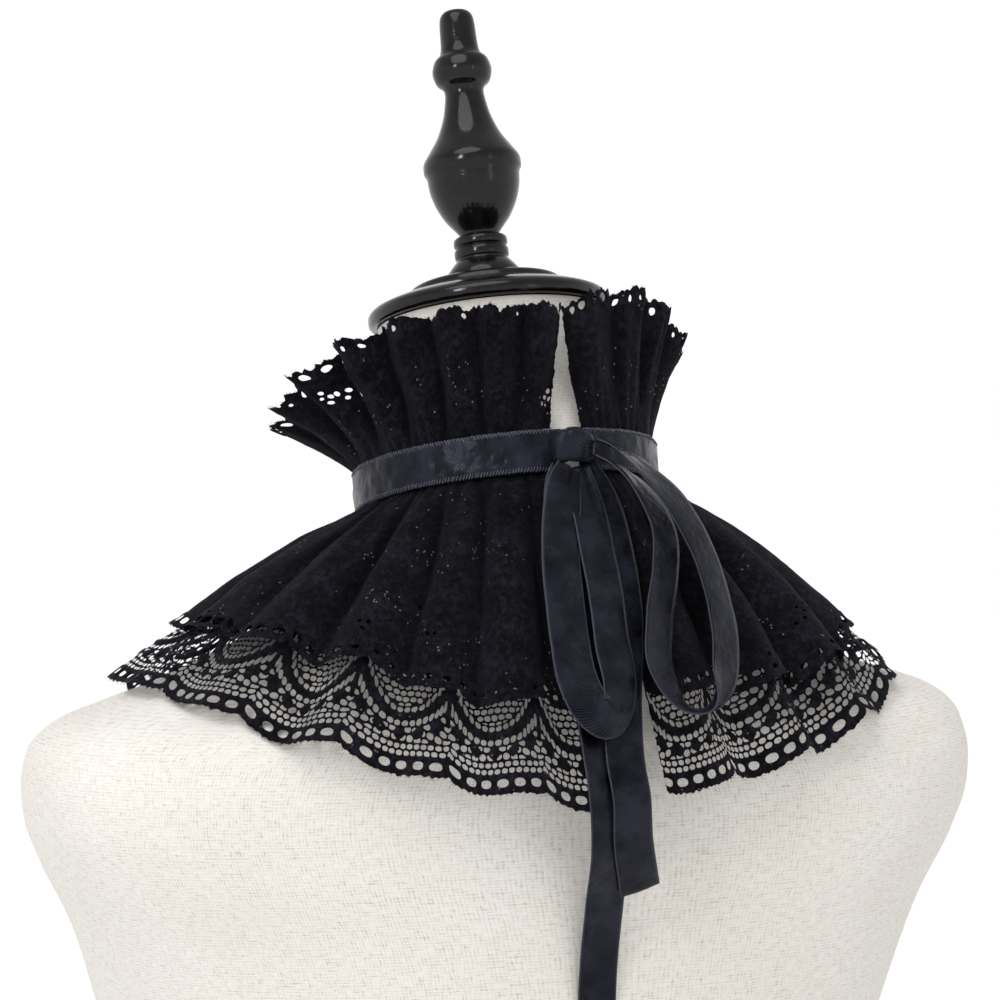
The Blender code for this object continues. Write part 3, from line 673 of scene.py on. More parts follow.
def hem_chart(u, y):
    """The scalloped hem's thread field, positive on thread, and its relief."""
    up = y - scallop_edge(u, PITCH, SCALLOP_DEPTH)
    edge = picots(u, up)
    u, y = wobble(u - CHART_SHIFT, y, 0.42, 41)
    x = (np.mod(u / PITCH, 1.0) - 0.5) * PITCH
    aside = np.abs(2 * x / PITCH)
    swag = SWAG_FOOT + SWAG_RISE * aside ** SWAG_POWER
    slope = SWAG_RISE * SWAG_POWER * aside ** (SWAG_POWER - 1) * 2 / PITCH
    from_swag = (y - swag) / np.sqrt(1 + slope ** 2)

    net = hem_net(u, y, up, x, aside, from_swag)
    clothwork = hem_clothwork(u, y, aside, from_swag)
    holes = eyelets(u, up, *TIER_EYELETS)
    band = np.where(up < CORD_TOP, eyelet_band(up, CORD_TOP, holes), CORD_TOP - up)
    solid = np.maximum(clothwork, band)
    field = np.where(up < CORD_TOP, band, np.maximum(net, solid))
    return np.minimum(field, edge), 0.55 * np.sqrt(np.clip(solid, 0.0, 1.0))


def veil_of_flowers(u, y):
    """The dense flowers over the swags: positive inside a petal, leaf or scroll."""
    x = (np.mod(u / PITCH, 1.0) - 0.5) * PITCH
    scroll = 1.3 - np.abs(y - 41.0 - 3.4 * np.cos(4 * math.pi * x / PITCH)) / 1.3
    fields = [np.where(np.abs(x) < PITCH * 0.36, scroll - 0.9, scroll)]
    for flower in FLOWERS:
        dx, dy = x - flower.x, y - flower.y
        petals = np.cos(flower.petals * np.arctan2(dy, dx))
        fields.append(flower.size * (0.78 + 0.26 * petals) - np.hypot(dx, dy))
    return np.maximum.reduce(fields)


def dense_chart(u, y, openness, seed):
    """Close floral lace: small holes between fine clothwork, fewer where openness is low."""
    warped_u, warped_y = wobble(u, y, 0.9, seed)
    share = openness + 0.55 * noise(u / 6.5, y / 6.5, seed + 3) + 0.35 * noise(u / 2.6, y / 2.6, seed + 4)
    size = np.clip(share, 0.0, 1.0)
    size = np.where(size < 0.3, 1e-3, size)
    row = np.floor(warped_y / DENSE_PITCH_Y)
    dy = warped_y - (row + 0.5) * DENSE_PITCH_Y
    dx = (np.mod(warped_u / DENSE_PITCH_X + np.mod(row, 2) * 0.5, 1.0) - 0.5) * DENSE_PITCH_X
    field = np.hypot(dx / 1.25, dy) - 1.15 * size
    relief = 0.35 * np.clip(0.5 - 0.5 * share, 0.0, 1.0)
    return field, relief


# Meshes

# A grid square's corners and cut edges, for each set of its corners that has thread: 0 to 3 are the corners
# anticlockwise, 4 to 7 the cuts on the edges after each
CUTS = {
    1: (0, 4, 7),
    2: (1, 5, 4),
    3: (0, 1, 5, 7),
    4: (2, 6, 5),
    5: (0, 4, 5, 2, 6, 7),
    6: (1, 2, 6, 4),
    7: (0, 1, 2, 6, 7),
    8: (3, 7, 6),
    9: (0, 4, 6, 3),
    10: (4, 1, 5, 6, 3, 7),
    11: (0, 1, 5, 6, 3),
    12: (2, 3, 7, 5),
    13: (0, 4, 5, 2, 3),
    14: (1, 2, 3, 7, 4),
    15: (0, 1, 2, 3),
}


def new_object(name, points, faces, material, uvs=None, smooth_angle=None):
    """A shown piece from points in metres."""
    mesh = bpy.data.meshes.new(name)
    mesh.from_pydata(points, [], faces)
    mesh.shade_smooth()
    if smooth_angle:
        mesh.set_sharp_from_angle(angle=math.radians(smooth_angle))
    if uvs is not None:
        layer = mesh.uv_layers.new(name="UVMap")
        corners = np.empty(len(mesh.loops), dtype=np.int32)
        mesh.loops.foreach_get("vertex_index", corners)
        layer.data.foreach_set("uv", np.asarray(uvs, dtype=np.float32)[corners].ravel())
    mesh.materials.append(material)
    piece = bpy.data.objects.new(name, mesh)
    bpy.context.scene.collection.objects.link(piece)
    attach(piece, BODY)
    return piece


def spread(marked, inside, times):
    """The marked grid points grown step by step over their neighbours that are inside."""
    for _ in range(times):
        grown = marked.copy()
        grown[1:] |= marked[:-1]
        grown[:-1] |= marked[1:]
        grown[:, 1:] |= marked[:, :-1]
        grown[:, :-1] |= marked[:, 1:]
        marked = grown & inside
    return marked


def joined_thread(on):
    """The grid points with thread, without slits too thin to be holes and threads that hang on nothing."""
    padded = np.pad(~on, 1, mode="edge")
    open_space = padded[1:-1, 1:-1]
    wide = open_space & padded[2:, 1:-1] & padded[1:-1, 2:] & padded[2:, 2:]
    on = ~spread(wide, open_space, 12)
    reached = np.zeros_like(on)
    reached[-1] = on[-1]
    count = 0
    while reached.sum() > count:
        count = reached.sum()
        reached = spread(reached, on, 8)
    return reached


def numbered(marked, first):
    """Running numbers for the marked places, from first on."""
    return first + np.cumsum(marked.ravel()).reshape(marked.shape) - 1


def raised(points, relief):
    """A surface's points moved out of it by the relief."""
    out = unit(np.cross(np.gradient(points, axis=1), np.gradient(points, axis=0)))
    outward = np.sum(out[..., :2] * points[..., :2], axis=-1)
    if np.median(outward) < 0.0:
        out = -out
    return points + out * relief[..., None]


def cut_lace(name, us, ys, chart, surface, folds=None):
    """A piece of lace: its chart is cut out of a fine grid, and the threads follow the surface.

    It gives the piece and the share of its strip that is thread. Folds is a function for how deep in a fold
    the cloth lies, which sets the shade painted into its folds.
    """
    u, y = np.meshgrid(us, ys)
    field, relief = chart(u, y)
    on = joined_thread(field > 0.0)
    field = np.where(on, np.maximum(field, LEAST_FIELD), np.minimum(field, -LEAST_FIELD)).ravel()
    across = on[:, :-1] != on[:, 1:]
    upward = on[:-1] != on[1:]

    # Each corner of the mesh lies between two grid points: on thread they are one and the same
    grid = np.arange(on.size).reshape(on.shape)
    first = np.concatenate((grid[on], grid[:, :-1][across], grid[:-1][upward]))
    second = np.concatenate((grid[on], grid[:, 1:][across], grid[1:][upward]))
    fall = np.where(first == second, 1.0, field[first] - field[second])
    share = np.clip(field[first] / fall, 0.1, 0.9)[:, None]

    def at_corners(values):
        values = values.reshape(on.size, -1)
        return values[first] * (1.0 - share) + values[second] * share

    flat = at_corners(np.stack((u, y), axis=-1))
    points = at_corners(raised(surface(u, y), relief))
    corner_ids = numbered(on, 0)
    across_ids = numbered(across, on.sum())
    upward_ids = numbered(upward, on.sum() + across.sum())
    ids = (
        corner_ids[:-1, :-1], corner_ids[:-1, 1:], corner_ids[1:, 1:], corner_ids[1:, :-1],
        across_ids[:-1], upward_ids[:, 1:], across_ids[1:], upward_ids[:, :-1],
    )
    case = on[:-1, :-1] + 2 * on[:-1, 1:] + 4 * on[1:, 1:] + 8 * on[1:, :-1]
    faces = []
    for number, corners in CUTS.items():
        picked = case == number
        faces += np.stack([ids[i][picked] for i in corners], axis=-1).tolist()
    piece = new_object(name, place_all(points), faces, lace, uvs=flat * MM)
    if folds is not None:
        shade = piece.data.attributes.new("fold_shade", "FLOAT", "POINT")
        shade.data.foreach_set("value", folds(*flat.T).astype(np.float32))
    return piece, on.mean()


def grid_faces(rows, columns):
    grid = np.arange(rows * columns).reshape(rows, columns)
    corners = (grid[:-1, :-1], grid[:-1, 1:], grid[1:, 1:], grid[1:, :-1])
    return np.stack(corners, axis=-1).reshape(-1, 4).tolist()


def tube_faces(count, sides):
    """Faces of a tube through rings of points, with both its ends."""
    grid = np.arange(count * sides).reshape(count, sides)
    beside = np.roll(grid, -1, axis=1)
    faces = np.stack((grid[:-1], beside[:-1], beside[1:], grid[1:]), axis=-1).reshape(-1, 4).tolist()
    return faces + [grid[0, ::-1].tolist(), grid[-1].tolist()]


# Materials

# Where the ribbon's selvedge begins and where it is full, from the ribbon's middle line. Its paler colour
# there is partly a painted highlight.
SELVEDGE_START = 7.3
SELVEDGE_END = 7.9


def grey(level):
    return level, level, level


class Paint:
    """A material's node tree, with short names for adding and joining nodes."""

    def __init__(self, name):
        self.material = bpy.data.materials.new(name)
        self.material.use_nodes = True
        self.tree = self.material.node_tree
        self.shader = self.tree.nodes["Principled BSDF"]

    def node(self, kind, inputs=None, **settings):
        node = self.tree.nodes.new(kind)
        for key, value in settings.items():
            setattr(node, key, value)
        for key, value in (inputs or {}).items():
            self.put(node.inputs[key], value)
        return node

    def put(self, socket, value):
        if isinstance(value, bpy.types.NodeSocket):
            self.tree.links.new(value, socket)
        else:
            socket.default_value = value

    def set(self, **inputs):
        """Sets the shader's inputs, named in lower case with low lines for spaces."""
        for key, value in inputs.items():
            self.put(self.shader.inputs[key.replace("_", " ").title().replace("Ior", "IOR")], value)

    def where(self):
        """A place in space, in metres."""
        return self.node("ShaderNodeTexCoord").outputs["Object"]

    def flat(self):
        """A place on the flat cloth, in metres."""
        return self.node("ShaderNodeUVMap", uv_map="UVMap").outputs["UV"]

    def math(self, operation, a, b=0.0):
        return self.node("ShaderNodeMath", {0: a, 1: b}, operation=operation).outputs[0]

    def sum(self, *terms):
        """The sum of values, each times its weight."""
        parts = [self.math("MULTIPLY", value, weight) for value, weight in terms]
        total = parts[0]
        for part in parts[1:]:
            total = self.math("ADD", total, part)
        return total

    def noise(self, vector, scale, detail=2.0, roughness=0.5):
        inputs = {"Vector": vector, "Scale": scale, "Detail": detail, "Roughness": roughness}
        return self.node("ShaderNodeTexNoise", inputs).outputs["Fac"]

    def wave(self, vector, scale, distortion, detail, **settings):
        inputs = {"Vector": vector, "Scale": scale, "Distortion": distortion, "Detail": detail}
        return self.node("ShaderNodeTexWave", inputs, **settings).outputs["Fac"]

    def ramp(self, value, *stops):
        node = self.node("ShaderNodeValToRGB", {"Fac": value})
        elements = node.color_ramp.elements
        while len(elements) < len(stops):
            elements.new(0.5)
        for element, (place_at, colour) in zip(elements, stops):
            element.position = place_at
            element.color = (*colour, 1.0)
        return node.outputs["Color"]

    def ranged(self, value, low, high, to_low, to_high):
        """The value's way from low to high, as a way from to_low to to_high."""
        inputs = {"Value": value, "From Min": low, "From Max": high, "To Min": to_low, "To Max": to_high}
        return self.node("ShaderNodeMapRange", inputs).outputs["Result"]

    def scaled(self, vector, *scale):
        return self.node("ShaderNodeMapping", {"Vector": vector, "Scale": scale}).outputs["Vector"]

    def mixed(self, blend_type, factor, first, second):
        inputs = {0: factor, 6: first, 7: second}
        return self.node("ShaderNodeMix", inputs, data_type="RGBA", blend_type=blend_type).outputs[2]

    def emboss(self, height, strength, distance):
        inputs = {"Height": height, "Strength": strength, "Distance": distance}
        self.set(normal=self.node("ShaderNodeBump", inputs).outputs["Normal"])


def lace_material():
    """Black thread, mottled by its stitches, with painted shade in the folds and painted spots of light in
    patches.
    """
    paint = Paint("black_lace_threads")
    where = paint.where()
    mottle = paint.noise(where, 420.0, 3.0, 0.7)
    broad = paint.noise(where, 90.0)
    colour = paint.ramp(
        paint.sum((mottle, 0.7), (broad, 0.3)),
        (0.38, (0.0014, 0.0013, 0.0021)),
        (0.50, (0.0040, 0.0038, 0.0060)),
        (0.64, (0.0125, 0.0119, 0.0178)),
    )
    # Painted shade: the colour is darkened where the cloth lies deep in a fold.
    depth = paint.node("ShaderNodeAttribute", attribute_name="fold_shade").outputs["Fac"]
    colour = paint.mixed("MULTIPLY", 1.0, colour, paint.ramp(depth, (0.0, grey(1.0)), (1.0, grey(0.22))))
    # Painted light: light-grey spots in patches, where light would show through pinholes in the lace.
    spots = paint.node("ShaderNodeTexVoronoi", {"Vector": where, "Scale": 430.0, "Randomness": 1.0})
    pins = paint.math("LESS_THAN", spots.outputs["Distance"], 0.17)
    patches = paint.math("GREATER_THAN", paint.noise(where, 62.0, 2.0, 0.6), 0.575)
    painted_light_spots = paint.math("MULTIPLY", pins, patches)
    colour = paint.mixed("MIX", painted_light_spots, colour, (0.12, 0.112, 0.10, 1.0))
    wales = paint.wave(paint.flat(), 290.0, 1.2, 1.0)
    fuzz = paint.noise(where, 2300.0, 2.0, 0.7)
    paint.set(base_color=colour, roughness=0.75, specular_ior_level=0.06)
    paint.set(sheen_weight=0.035, sheen_roughness=0.4, sheen_tint=(0.60, 0.56, 0.85, 1.0))
    paint.emboss(paint.sum((wales, 0.55), (fuzz, 1.0), (mottle, 2.5)), 0.9, 0.0005)
    return paint.material


def satin_material():
    """Black ribbon: a fine slanting twill, cloudy sheen partly painted into its colour, and a paler line along
    each selvedge, partly a painted highlight.
    """
    paint = Paint("black_satin_ribbon")
    flat = paint.flat()
    turned = paint.node("ShaderNodeMapping", {"Vector": flat, "Rotation": (0.0, 0.0, math.radians(62.0))})
    twill = paint.wave(turned.outputs["Vector"], 360.0, 0.4, 2.0)
    cloudy = paint.noise(paint.where(), 75.0, 3.0, 0.6)
    # Painted sheen: the colour is paler in cloudy patches, where the sheen would fall.
    painted_sheen_clouds = paint.ramp(cloudy, (0.32, (0.0020, 0.0022, 0.0036)), (0.68, (0.0150, 0.0160, 0.0240)))
    lines = paint.ramp(twill, (0.2, grey(0.35)), (0.8, grey(1.5)))
    colour = paint.mixed("MULTIPLY", 1.0, painted_sheen_clouds, lines)
    # Paler colour along each selvedge: partly the selvedge's own weave, partly a painted highlight along the
    # edge.
    side = paint.math("ABSOLUTE", paint.node("ShaderNodeSeparateXYZ", {"Vector": flat}).outputs["X"])
    edge = paint.ranged(side, SELVEDGE_START * MM, SELVEDGE_END * MM, 0.0, 1.0)
    colour = paint.mixed("MIX", edge, colour, (0.040, 0.043, 0.058, 1.0))
    paint.set(base_color=colour, roughness=paint.ranged(cloudy, 0.3, 0.7, 0.17, 0.34))
    paint.set(specular_ior_level=0.14, specular_tint=(0.80, 0.83, 1.0, 1.0))
    paint.set(sheen_weight=0.02, sheen_roughness=0.35, sheen_tint=(0.50, 0.56, 0.85, 1.0))
    paint.emboss(paint.sum((twill, 0.18), (cloudy, 8.0), (edge, 0.6)), 0.45, 0.0003)
    return paint.material


def thread_material():
    paint = Paint("sewing_thread")
    fibres = paint.noise(paint.where(), 1500.0, 2.0, 0.6)
    # Painted sheen: the dark thread is given a pale colour for the sheen on its stitches, varied by its
    # fibres.
    colour = paint.ramp(fibres, (0.3, (0.040, 0.043, 0.060)), (0.7, (0.200, 0.210, 0.260)))
    paint.set(base_color=colour, roughness=0.55, specular_ior_level=0.2)
    paint.emboss(fibres, 0.4, 0.0001)
    return paint.material


def wood_material():
    """Turned wood under black lacquer: faint long grain and the turning's fine rings."""
    paint = Paint("black_turned_wood")
    where = paint.where()
    grain = paint.noise(paint.scaled(where, 60.0, 60.0, 9.0), 6.0, 4.0, 0.6)
    turns = paint.noise(paint.scaled(where, 3.0, 3.0, 900.0), 1.0)
    colour = paint.ramp(grain, (0.3, (0.0014, 0.0013, 0.0013)), (0.75, (0.006, 0.005, 0.0045)))
    rough = paint.ranged(grain, 0.0, 1.0, 0.07, 0.20)
    paint.set(base_color=colour, roughness=rough, specular_ior_level=0.32)
    paint.emboss(paint.sum((turns, 0.6), (grain, 0.5)), 0.12, 0.0006)
    return paint.material


def knit_material():
    """Ecru knit: fine columns and rows of uneven thread, a little soiled in broad patches."""
    paint = Paint("ecru_knit_cover")
    flat = paint.flat()
    upright = paint.noise(paint.scaled(flat, 1500.0, 260.0, 1.0), 1.0, 2.0, 0.55)
    level = paint.noise(paint.scaled(flat, 230.0, 1400.0, 1.0), 1.0, 2.0, 0.55)
    columns = paint.wave(flat, 280.0, 0.6, 1.0)
    rows = paint.wave(flat, 265.0, 0.6, 1.0, bands_direction="Y")
    weave = paint.math("MULTIPLY", columns, rows)
    height = paint.sum((weave, 0.6), (upright, 1.0), (level, 1.0))
    colour = paint.ramp(
        paint.math("MULTIPLY", height, 0.5),
        (0.34, (0.47, 0.435, 0.39)),
        (0.46, (0.655, 0.622, 0.578)),
        (0.60, (0.755, 0.730, 0.695)),
    )
    broad = paint.noise(paint.scaled(flat, 9.0, 7.0, 1.0), 1.0)
    soiled = paint.ramp(broad, (0.3, (0.93, 0.92, 0.90)), (0.7, grey(1.0)))
    colour = paint.mixed("MULTIPLY", 1.0, colour, soiled)
    paint.set(base_color=colour, roughness=0.9, specular_ior_level=0.2)
    paint.set(sheen_weight=0.15, sheen_roughness=0.5)
    paint.emboss(height, 0.45, 0.0004)
    return paint.material


lace = lace_material()
satin = satin_material()
thread = thread_material()
wood = wood_material()
knit = knit_material()


# The dress form, its cap and finial


def spline_rows(rows, count):
    """Rows of a table read along a smooth curve through them, evenly by row, with no overshoot."""
    values = np.array(rows, dtype=float)
    at = np.linspace(0, len(values) - 1, count)
    low = np.clip(np.floor(at).astype(int), 0, len(values) - 2)
    t = (at - low)[:, None]
    slopes = np.zeros_like(values)
    before, after = values[1:-1] - values[:-2], values[2:] - values[1:-1]
    same_way = before * after > 0
    slopes[1:-1] = np.where(same_way, 2 * before * after / np.where(same_way, before + after, 1.0), 0.0)
    slopes[0], slopes[-1] = values[1] - values[0], values[-1] - values[-2]
    a, b, m, n = values[low], values[low + 1], slopes[low], slopes[low + 1]
    t2, t3 = t * t, t * t * t
    return a * (2 * t3 - 3 * t2 + 1) + m * (t3 - 2 * t2 + t) + b * (3 * t2 - 2 * t3) + n * (t3 - t2)


def superellipse(turn, half_width, half_depth, squareness):
    """Half a width and half a depth at each turn round a squared-off oval."""
    power = 2.0 / squareness
    sine, cosine = np.sin(turn), np.cos(turn)
    x = half_width * np.sign(sine) * np.abs(sine) ** power
    back = half_depth * np.sign(cosine) * np.abs(cosine) ** power
    return x, back


def unwrap_seam(mesh, girth):
    """Carries the texture on over the seam, where it would run back across one column of faces."""
    layer = mesh.uv_layers["UVMap"].data
    flat = np.empty(len(layer) * 2, dtype=np.float32)
    layer.foreach_get("uv", flat)
    flat = flat.reshape(-1, 2)
    for face in mesh.polygons:
        if face.loop_total == 4:
            corners = slice(face.loop_start, face.loop_start + 4)
            across = flat[corners, 0]
            if across.max() - across.min() > girth / 2:
                flat[corners, 0] = np.where(across < 0.0, across + girth, across)
    layer.foreach_set("uv", flat.ravel())


def stands_for(node):
    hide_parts(node)


def closed_tube(name, rings, uvs, material, smooth_angle):
    """A closed solid through rings whose first and last points meet."""
    points = place_all(rings.reshape(-1, 3))
    faces = tube_faces(*rings.shape[:2])
    piece = new_object(name, points, faces, material, uvs=uvs, smooth_angle=smooth_angle)
    box = bmesh.new()
    box.from_mesh(piece.data)
    bmesh.ops.recalc_face_normals(box, faces=box.faces)
    box.to_mesh(piece.data)
    box.free()
    return piece


# Radius that the knit's texture is unrolled at
KNIT_RADIUS = 120.0


def build_form():
    sides = 180
    turn = np.linspace(0.0, math.tau, sides, endpoint=False)
    unrolled = np.where(turn > math.pi, turn - math.tau, turn) * KNIT_RADIUS * MM
    rings, uvs = [], []
    for z, y, half_width, half_depth, lean, squareness in spline_rows(FORM_ROWS, 150):
        x, back = superellipse(turn, half_width, half_depth, squareness)
        tilt = math.radians(lean)
        rings.append(np.stack((x, y + back * math.cos(tilt), z + back * math.sin(tilt)), axis=-1))
        uvs.append(np.stack((unrolled, np.full(sides, z * MM)), axis=-1))
    piece = closed_tube("form_cover", np.array(rings), np.concatenate(uvs), knit, 50.0)
    unwrap_seam(piece.data, math.tau * KNIT_RADIUS * MM)
    stands_for("dress_form")


def build_turned(name, node, rows, sides):
    """A turned piece of wood through a table's heights and radii, its corners eased a little."""
    at = np.arange(len(rows))
    quarters = np.linspace(0.0, at[-1], 4 * at[-1] + 1)
    fine = np.stack([np.interp(quarters, at, column) for column in np.array(rows).T], axis=-1)
    for _ in range(2):
        fine[1:-1] = 0.25 * fine[:-2] + 0.5 * fine[1:-1] + 0.25 * fine[2:]
    angles = np.linspace(0.0, 360.0, sides, endpoint=False)
    rings = np.array([ring_point(angles, radius, height) for height, radius in fine])
    piece = closed_tube(name, rings, np.zeros((len(fine) * sides, 2)), wood, 35.0)
    stands_for(node)


build_form()
build_turned("turned_cap", "neck_cap", CAP_ROWS, 128)
build_turned("turned_finial", "finial", FINIAL_ROWS, 96)

# The three strips of lace


def build_lower_tier_top():
    """The lower tier from its hem's net up under the ribbon, which the upper tier covers."""
    columns = 366
    us = np.linspace(0.0, LACE_LENGTH, columns)
    length = tier_length(us / LACE_LENGTH)
    rows = []
    for share_up in np.linspace(0.0, 1.0, 34):
        y = (HEM_TOP - PIECE_LAP) * (1.0 - share_up) + length * share_up
        rows.append(lower_surface(us, y))
    rows.append(ring_point(neck_angle(us / LACE_LENGTH), LOWER_TIER_SEAT, -RIBBON_HALF + 1.0))
    levels = np.linspace(HEM_TOP, 130.0, len(rows))
    uvs = np.stack(np.meshgrid(us, levels), axis=-1).reshape(-1, 2) * MM
    points = place_all(np.concatenate(rows))
    return new_object("lower_tier_top", points, grid_faces(len(rows), columns), lace, uvs=uvs)


def upper_openness(y):
    return 0.10 - 0.006 * y


def upper_chart(u, y):
    """The upper tier: the same scalloped edge and eyelets, then close flowers."""
    up = y - scallop_edge(u, PITCH, SCALLOP_DEPTH)
    edge = picots(u + 7.0, up)
    along, level = wobble(u - CHART_SHIFT, y, 0.3, 51)
    holes = eyelets(along, up, *TIER_EYELETS)
    band = eyelet_band(up, CORD_TOP, holes + 0.35 - 0.8 * along_edge(u, 17.0, 54, 3.0))
    dense, relief = dense_chart(along, level, upper_openness(np.maximum(y, 0.0)), 53)
    field = np.where(up < CORD_TOP, band, dense)
    relief = np.where(up < CORD_TOP, 0.5 * np.sqrt(np.clip(band, 0.0, 1.0)), relief)
    return np.minimum(field, edge), relief


def upper_length(share):
    """Length of the upper tier from its hem to the ribbon."""
    return upper_share_down(share) * tier_length(share)


def upper_folds(u, y):
    """How deep in a fold the upper tier's cloth lies, from 0 to 1, which sets the shade painted into its
    folds.
    """
    share = u / LACE_LENGTH
    below = np.maximum(upper_length(share) - y, 0.0)
    angle = strayed_angle(share, below, *UPPER_STRAY)
    return 0.9 * crease(angle, 3.4) * np.clip(1.2 - below / 90.0, 0.3, 1.0)


# The upper tier's top piece has y from 0 at the hem piece to 1 at the ribbon, and is charted as this deep
UPPER_TOP_DEPTH = 55.0
UPPER_TOP_LINES = 64


def upper_top_surface(u, y):
    first = UPPER_SPLIT - PIECE_LAP
    return upper_surface(u, first + (upper_length(u / LACE_LENGTH) - first) * y)


def upper_top_chart(u, y):
    level = UPPER_SPLIT + UPPER_TOP_DEPTH * y
    return dense_chart(u, level, upper_openness(level), 53)


def upper_top_folds(u, y):
    return upper_folds(u, UPPER_SPLIT + UPPER_TOP_DEPTH * y)


def frill_chart(u, y):
    """The frill's finely scalloped edge and eyelets, then close flowers, more open at its left side."""
    down = y - scallop_edge(u, FRILL_PITCH, FRILL_SCALLOP_DEPTH)
    tufts = 0.9 * along_edge(u, 1.7, 61) + 0.5 * noise(u / 0.8, y / 0.8, 65)
    edge = picots(u + 3.0, down) + (tufts + 0.6 * along_edge(u, 5.0, 68, 1.0)) - 0.2
    along, level = wobble(u, y, 0.7, 62)
    at_back = np.exp(-((u - 35.0) / 62.0) ** 4)
    holes = eyelets(along, down + 0.5 * along_edge(u, 4.0, 69), *FRILL_EYELETS)
    holes = holes + 0.35 + 0.65 * at_back - 0.8 * along_edge(u, 7.0, 67, 2.0)
    holes = holes + 0.4 * noise(u / 1.3, y / 1.3, 71)
    band = eyelet_band(down, FRILL_BAND, holes)
    left_side = np.exp(-((u - 132.0) / 20.0) ** 2 - ((y - 13.0) / 12.0) ** 2)
    left_end = np.exp(-((u - 3.0) / 5.0) ** 2 - ((y - 33.0) / 9.0) ** 2)
    dense, relief = dense_chart(along, level, -0.24 + 0.70 * np.maximum(left_side, left_end), 64)
    field = np.where(down < FRILL_BAND, band, dense)
    relief = np.where(down < FRILL_BAND, 0.45 * np.sqrt(np.clip(band, 0.0, 1.0)), relief)
    ends = np.minimum(u + BACK_EXTRA, FRILL_LENGTH + BACK_EXTRA - u)
    ends = ends - 0.9 + 0.7 * along_edge(y, 2.6, 66, 4.0) + 0.4 * along_edge(y, 1.1, 70, 6.0)
    return np.minimum(np.minimum(field, edge), ends), relief


def frill_folds(u, y):
    """How deep in a fold the frill's cloth lies, from 0 to 1, which sets the shade painted into its folds."""
    above = FRILL_HEIGHT - y
    angle = strayed_angle(u / FRILL_LENGTH, above, *FRILL_STRAY)
    return 0.75 * crease(angle, 3.0) * np.clip(1.25 - above / 60.0, 0.3, 1.0)


def build_fuzz(name, chart, surface, length, count, reach, seed):
    """Short loose fibres along a cut lace edge."""
    rng = np.random.default_rng(seed)
    u = rng.uniform(1.0, length - 1.0, count)
    heights = np.arange(-7.0, 4.0, 0.12)
    field, _ = chart(*np.meshgrid(u, heights))
    edge = heights[np.argmax(field > 0.0, axis=0)]
    long = rng.uniform(0.35, 1.0, count) * reach
    lean = rng.normal(0.0, 0.7, count)
    stray = rng.normal(0.0, 0.35, (count, 3))
    rows = []
    for t in (0.0, 0.5, 1.0):
        middle = u + lean * long * t ** 1.6
        width = 0.10 * (1.0 - 0.7 * t)
        bend = stray * long[:, None] * t ** 2
        for side in (-1.0, 1.0):
            rows.append(surface(middle + side * width, edge + 0.35 - long * t) + bend)
    points = np.stack(rows, axis=1).reshape(-1, 3)
    faces = np.array(grid_faces(3, 2)) + 6 * np.arange(count)[:, None, None]
    piece = new_object(name, place_all(points), faces.reshape(-1, 4).tolist(), lace)
    return piece


hem_lines = np.arange(-SCALLOP_DEPTH - EDGE_ROOM, HEM_TOP, HEM_GRID)
left_lines = np.arange(0.0, HALF_LACE + HEM_GRID, HEM_GRID)
right_lines = np.arange(HALF_LACE, LACE_LENGTH + LAST_LINE_ROOM, HEM_GRID)
hem_left, left_share = cut_lace("lower_tier_hem_left", left_lines, hem_lines, hem_chart, lower_surface)
hem_right, right_share = cut_lace("lower_tier_hem_right", right_lines, hem_lines, hem_chart, lower_surface)
lower_top = build_lower_tier_top()
upper_hem, upper_hem_share = cut_lace(
    "upper_tier_hem",
    np.arange(0.0, LACE_LENGTH + LAST_LINE_ROOM, UPPER_GRID),
    np.arange(-SCALLOP_DEPTH - EDGE_ROOM, UPPER_SPLIT, UPPER_GRID),
    upper_chart, upper_surface, upper_folds,
)
upper_top, top_share = cut_lace(
    "upper_tier_top",
    np.arange(0.0, LACE_LENGTH + LAST_LINE_ROOM, UPPER_TOP_GRID),
    np.linspace(0.0, 1.0, UPPER_TOP_LINES),
    upper_top_chart, upper_top_surface, upper_top_folds,
)
frill, frill_share = cut_lace(
    "frill",
    np.arange(-BACK_EXTRA, FRILL_LENGTH + BACK_EXTRA, FRILL_GRID),
    np.arange(-FRILL_SCALLOP_DEPTH - EDGE_ROOM, FRILL_HEIGHT + 0.5, FRILL_GRID),
    frill_chart, frill_surface, frill_folds,
)
frill_fuzz = build_fuzz("frill_fuzz", frill_chart, frill_surface, FRILL_LENGTH, 1200, 1.3, 81)
hem_fuzz = build_fuzz("lower_tier_fuzz", hem_chart, lower_surface, LACE_LENGTH, 1700, 1.1, 82)
upper_fuzz = build_fuzz("upper_tier_fuzz", upper_chart, upper_surface, LACE_LENGTH, 1000, 1.0, 83)

for pieces, node in (
    ((hem_left, hem_right, lower_top), "lower_tier"),
    ((upper_hem, upper_top), "upper_tier"),
    ((frill,), "upper_frill"),
):
    for piece in pieces:
        stands_for(node)

# The ribbon round the neck and the bow

RIBBON_THICKNESS = 0.45

# The whip stitches: distance between them, half a thread's width and depth, how many degrees they stay from
# the ribbon's ends, and their route from the ribbon over its edge to the lace
STITCH_PITCH = 1.2
STITCH_HALF_WIDTH = 0.14
STITCH_HALF_DEPTH = 0.18
STITCH_END_GAP = 5.0
STITCH_ROUTE = table("along height lift", (
    (-0.5, 6.4, 0.05),
    (0.05, 7.4, 0.3),
    (0.5, 8.4, -0.45),
))


def thicken(piece, thickness):
    modifier = piece.modifiers.new("thickness", "SOLIDIFY")
    modifier.thickness = thickness * MM
    modifier.offset = 0.0


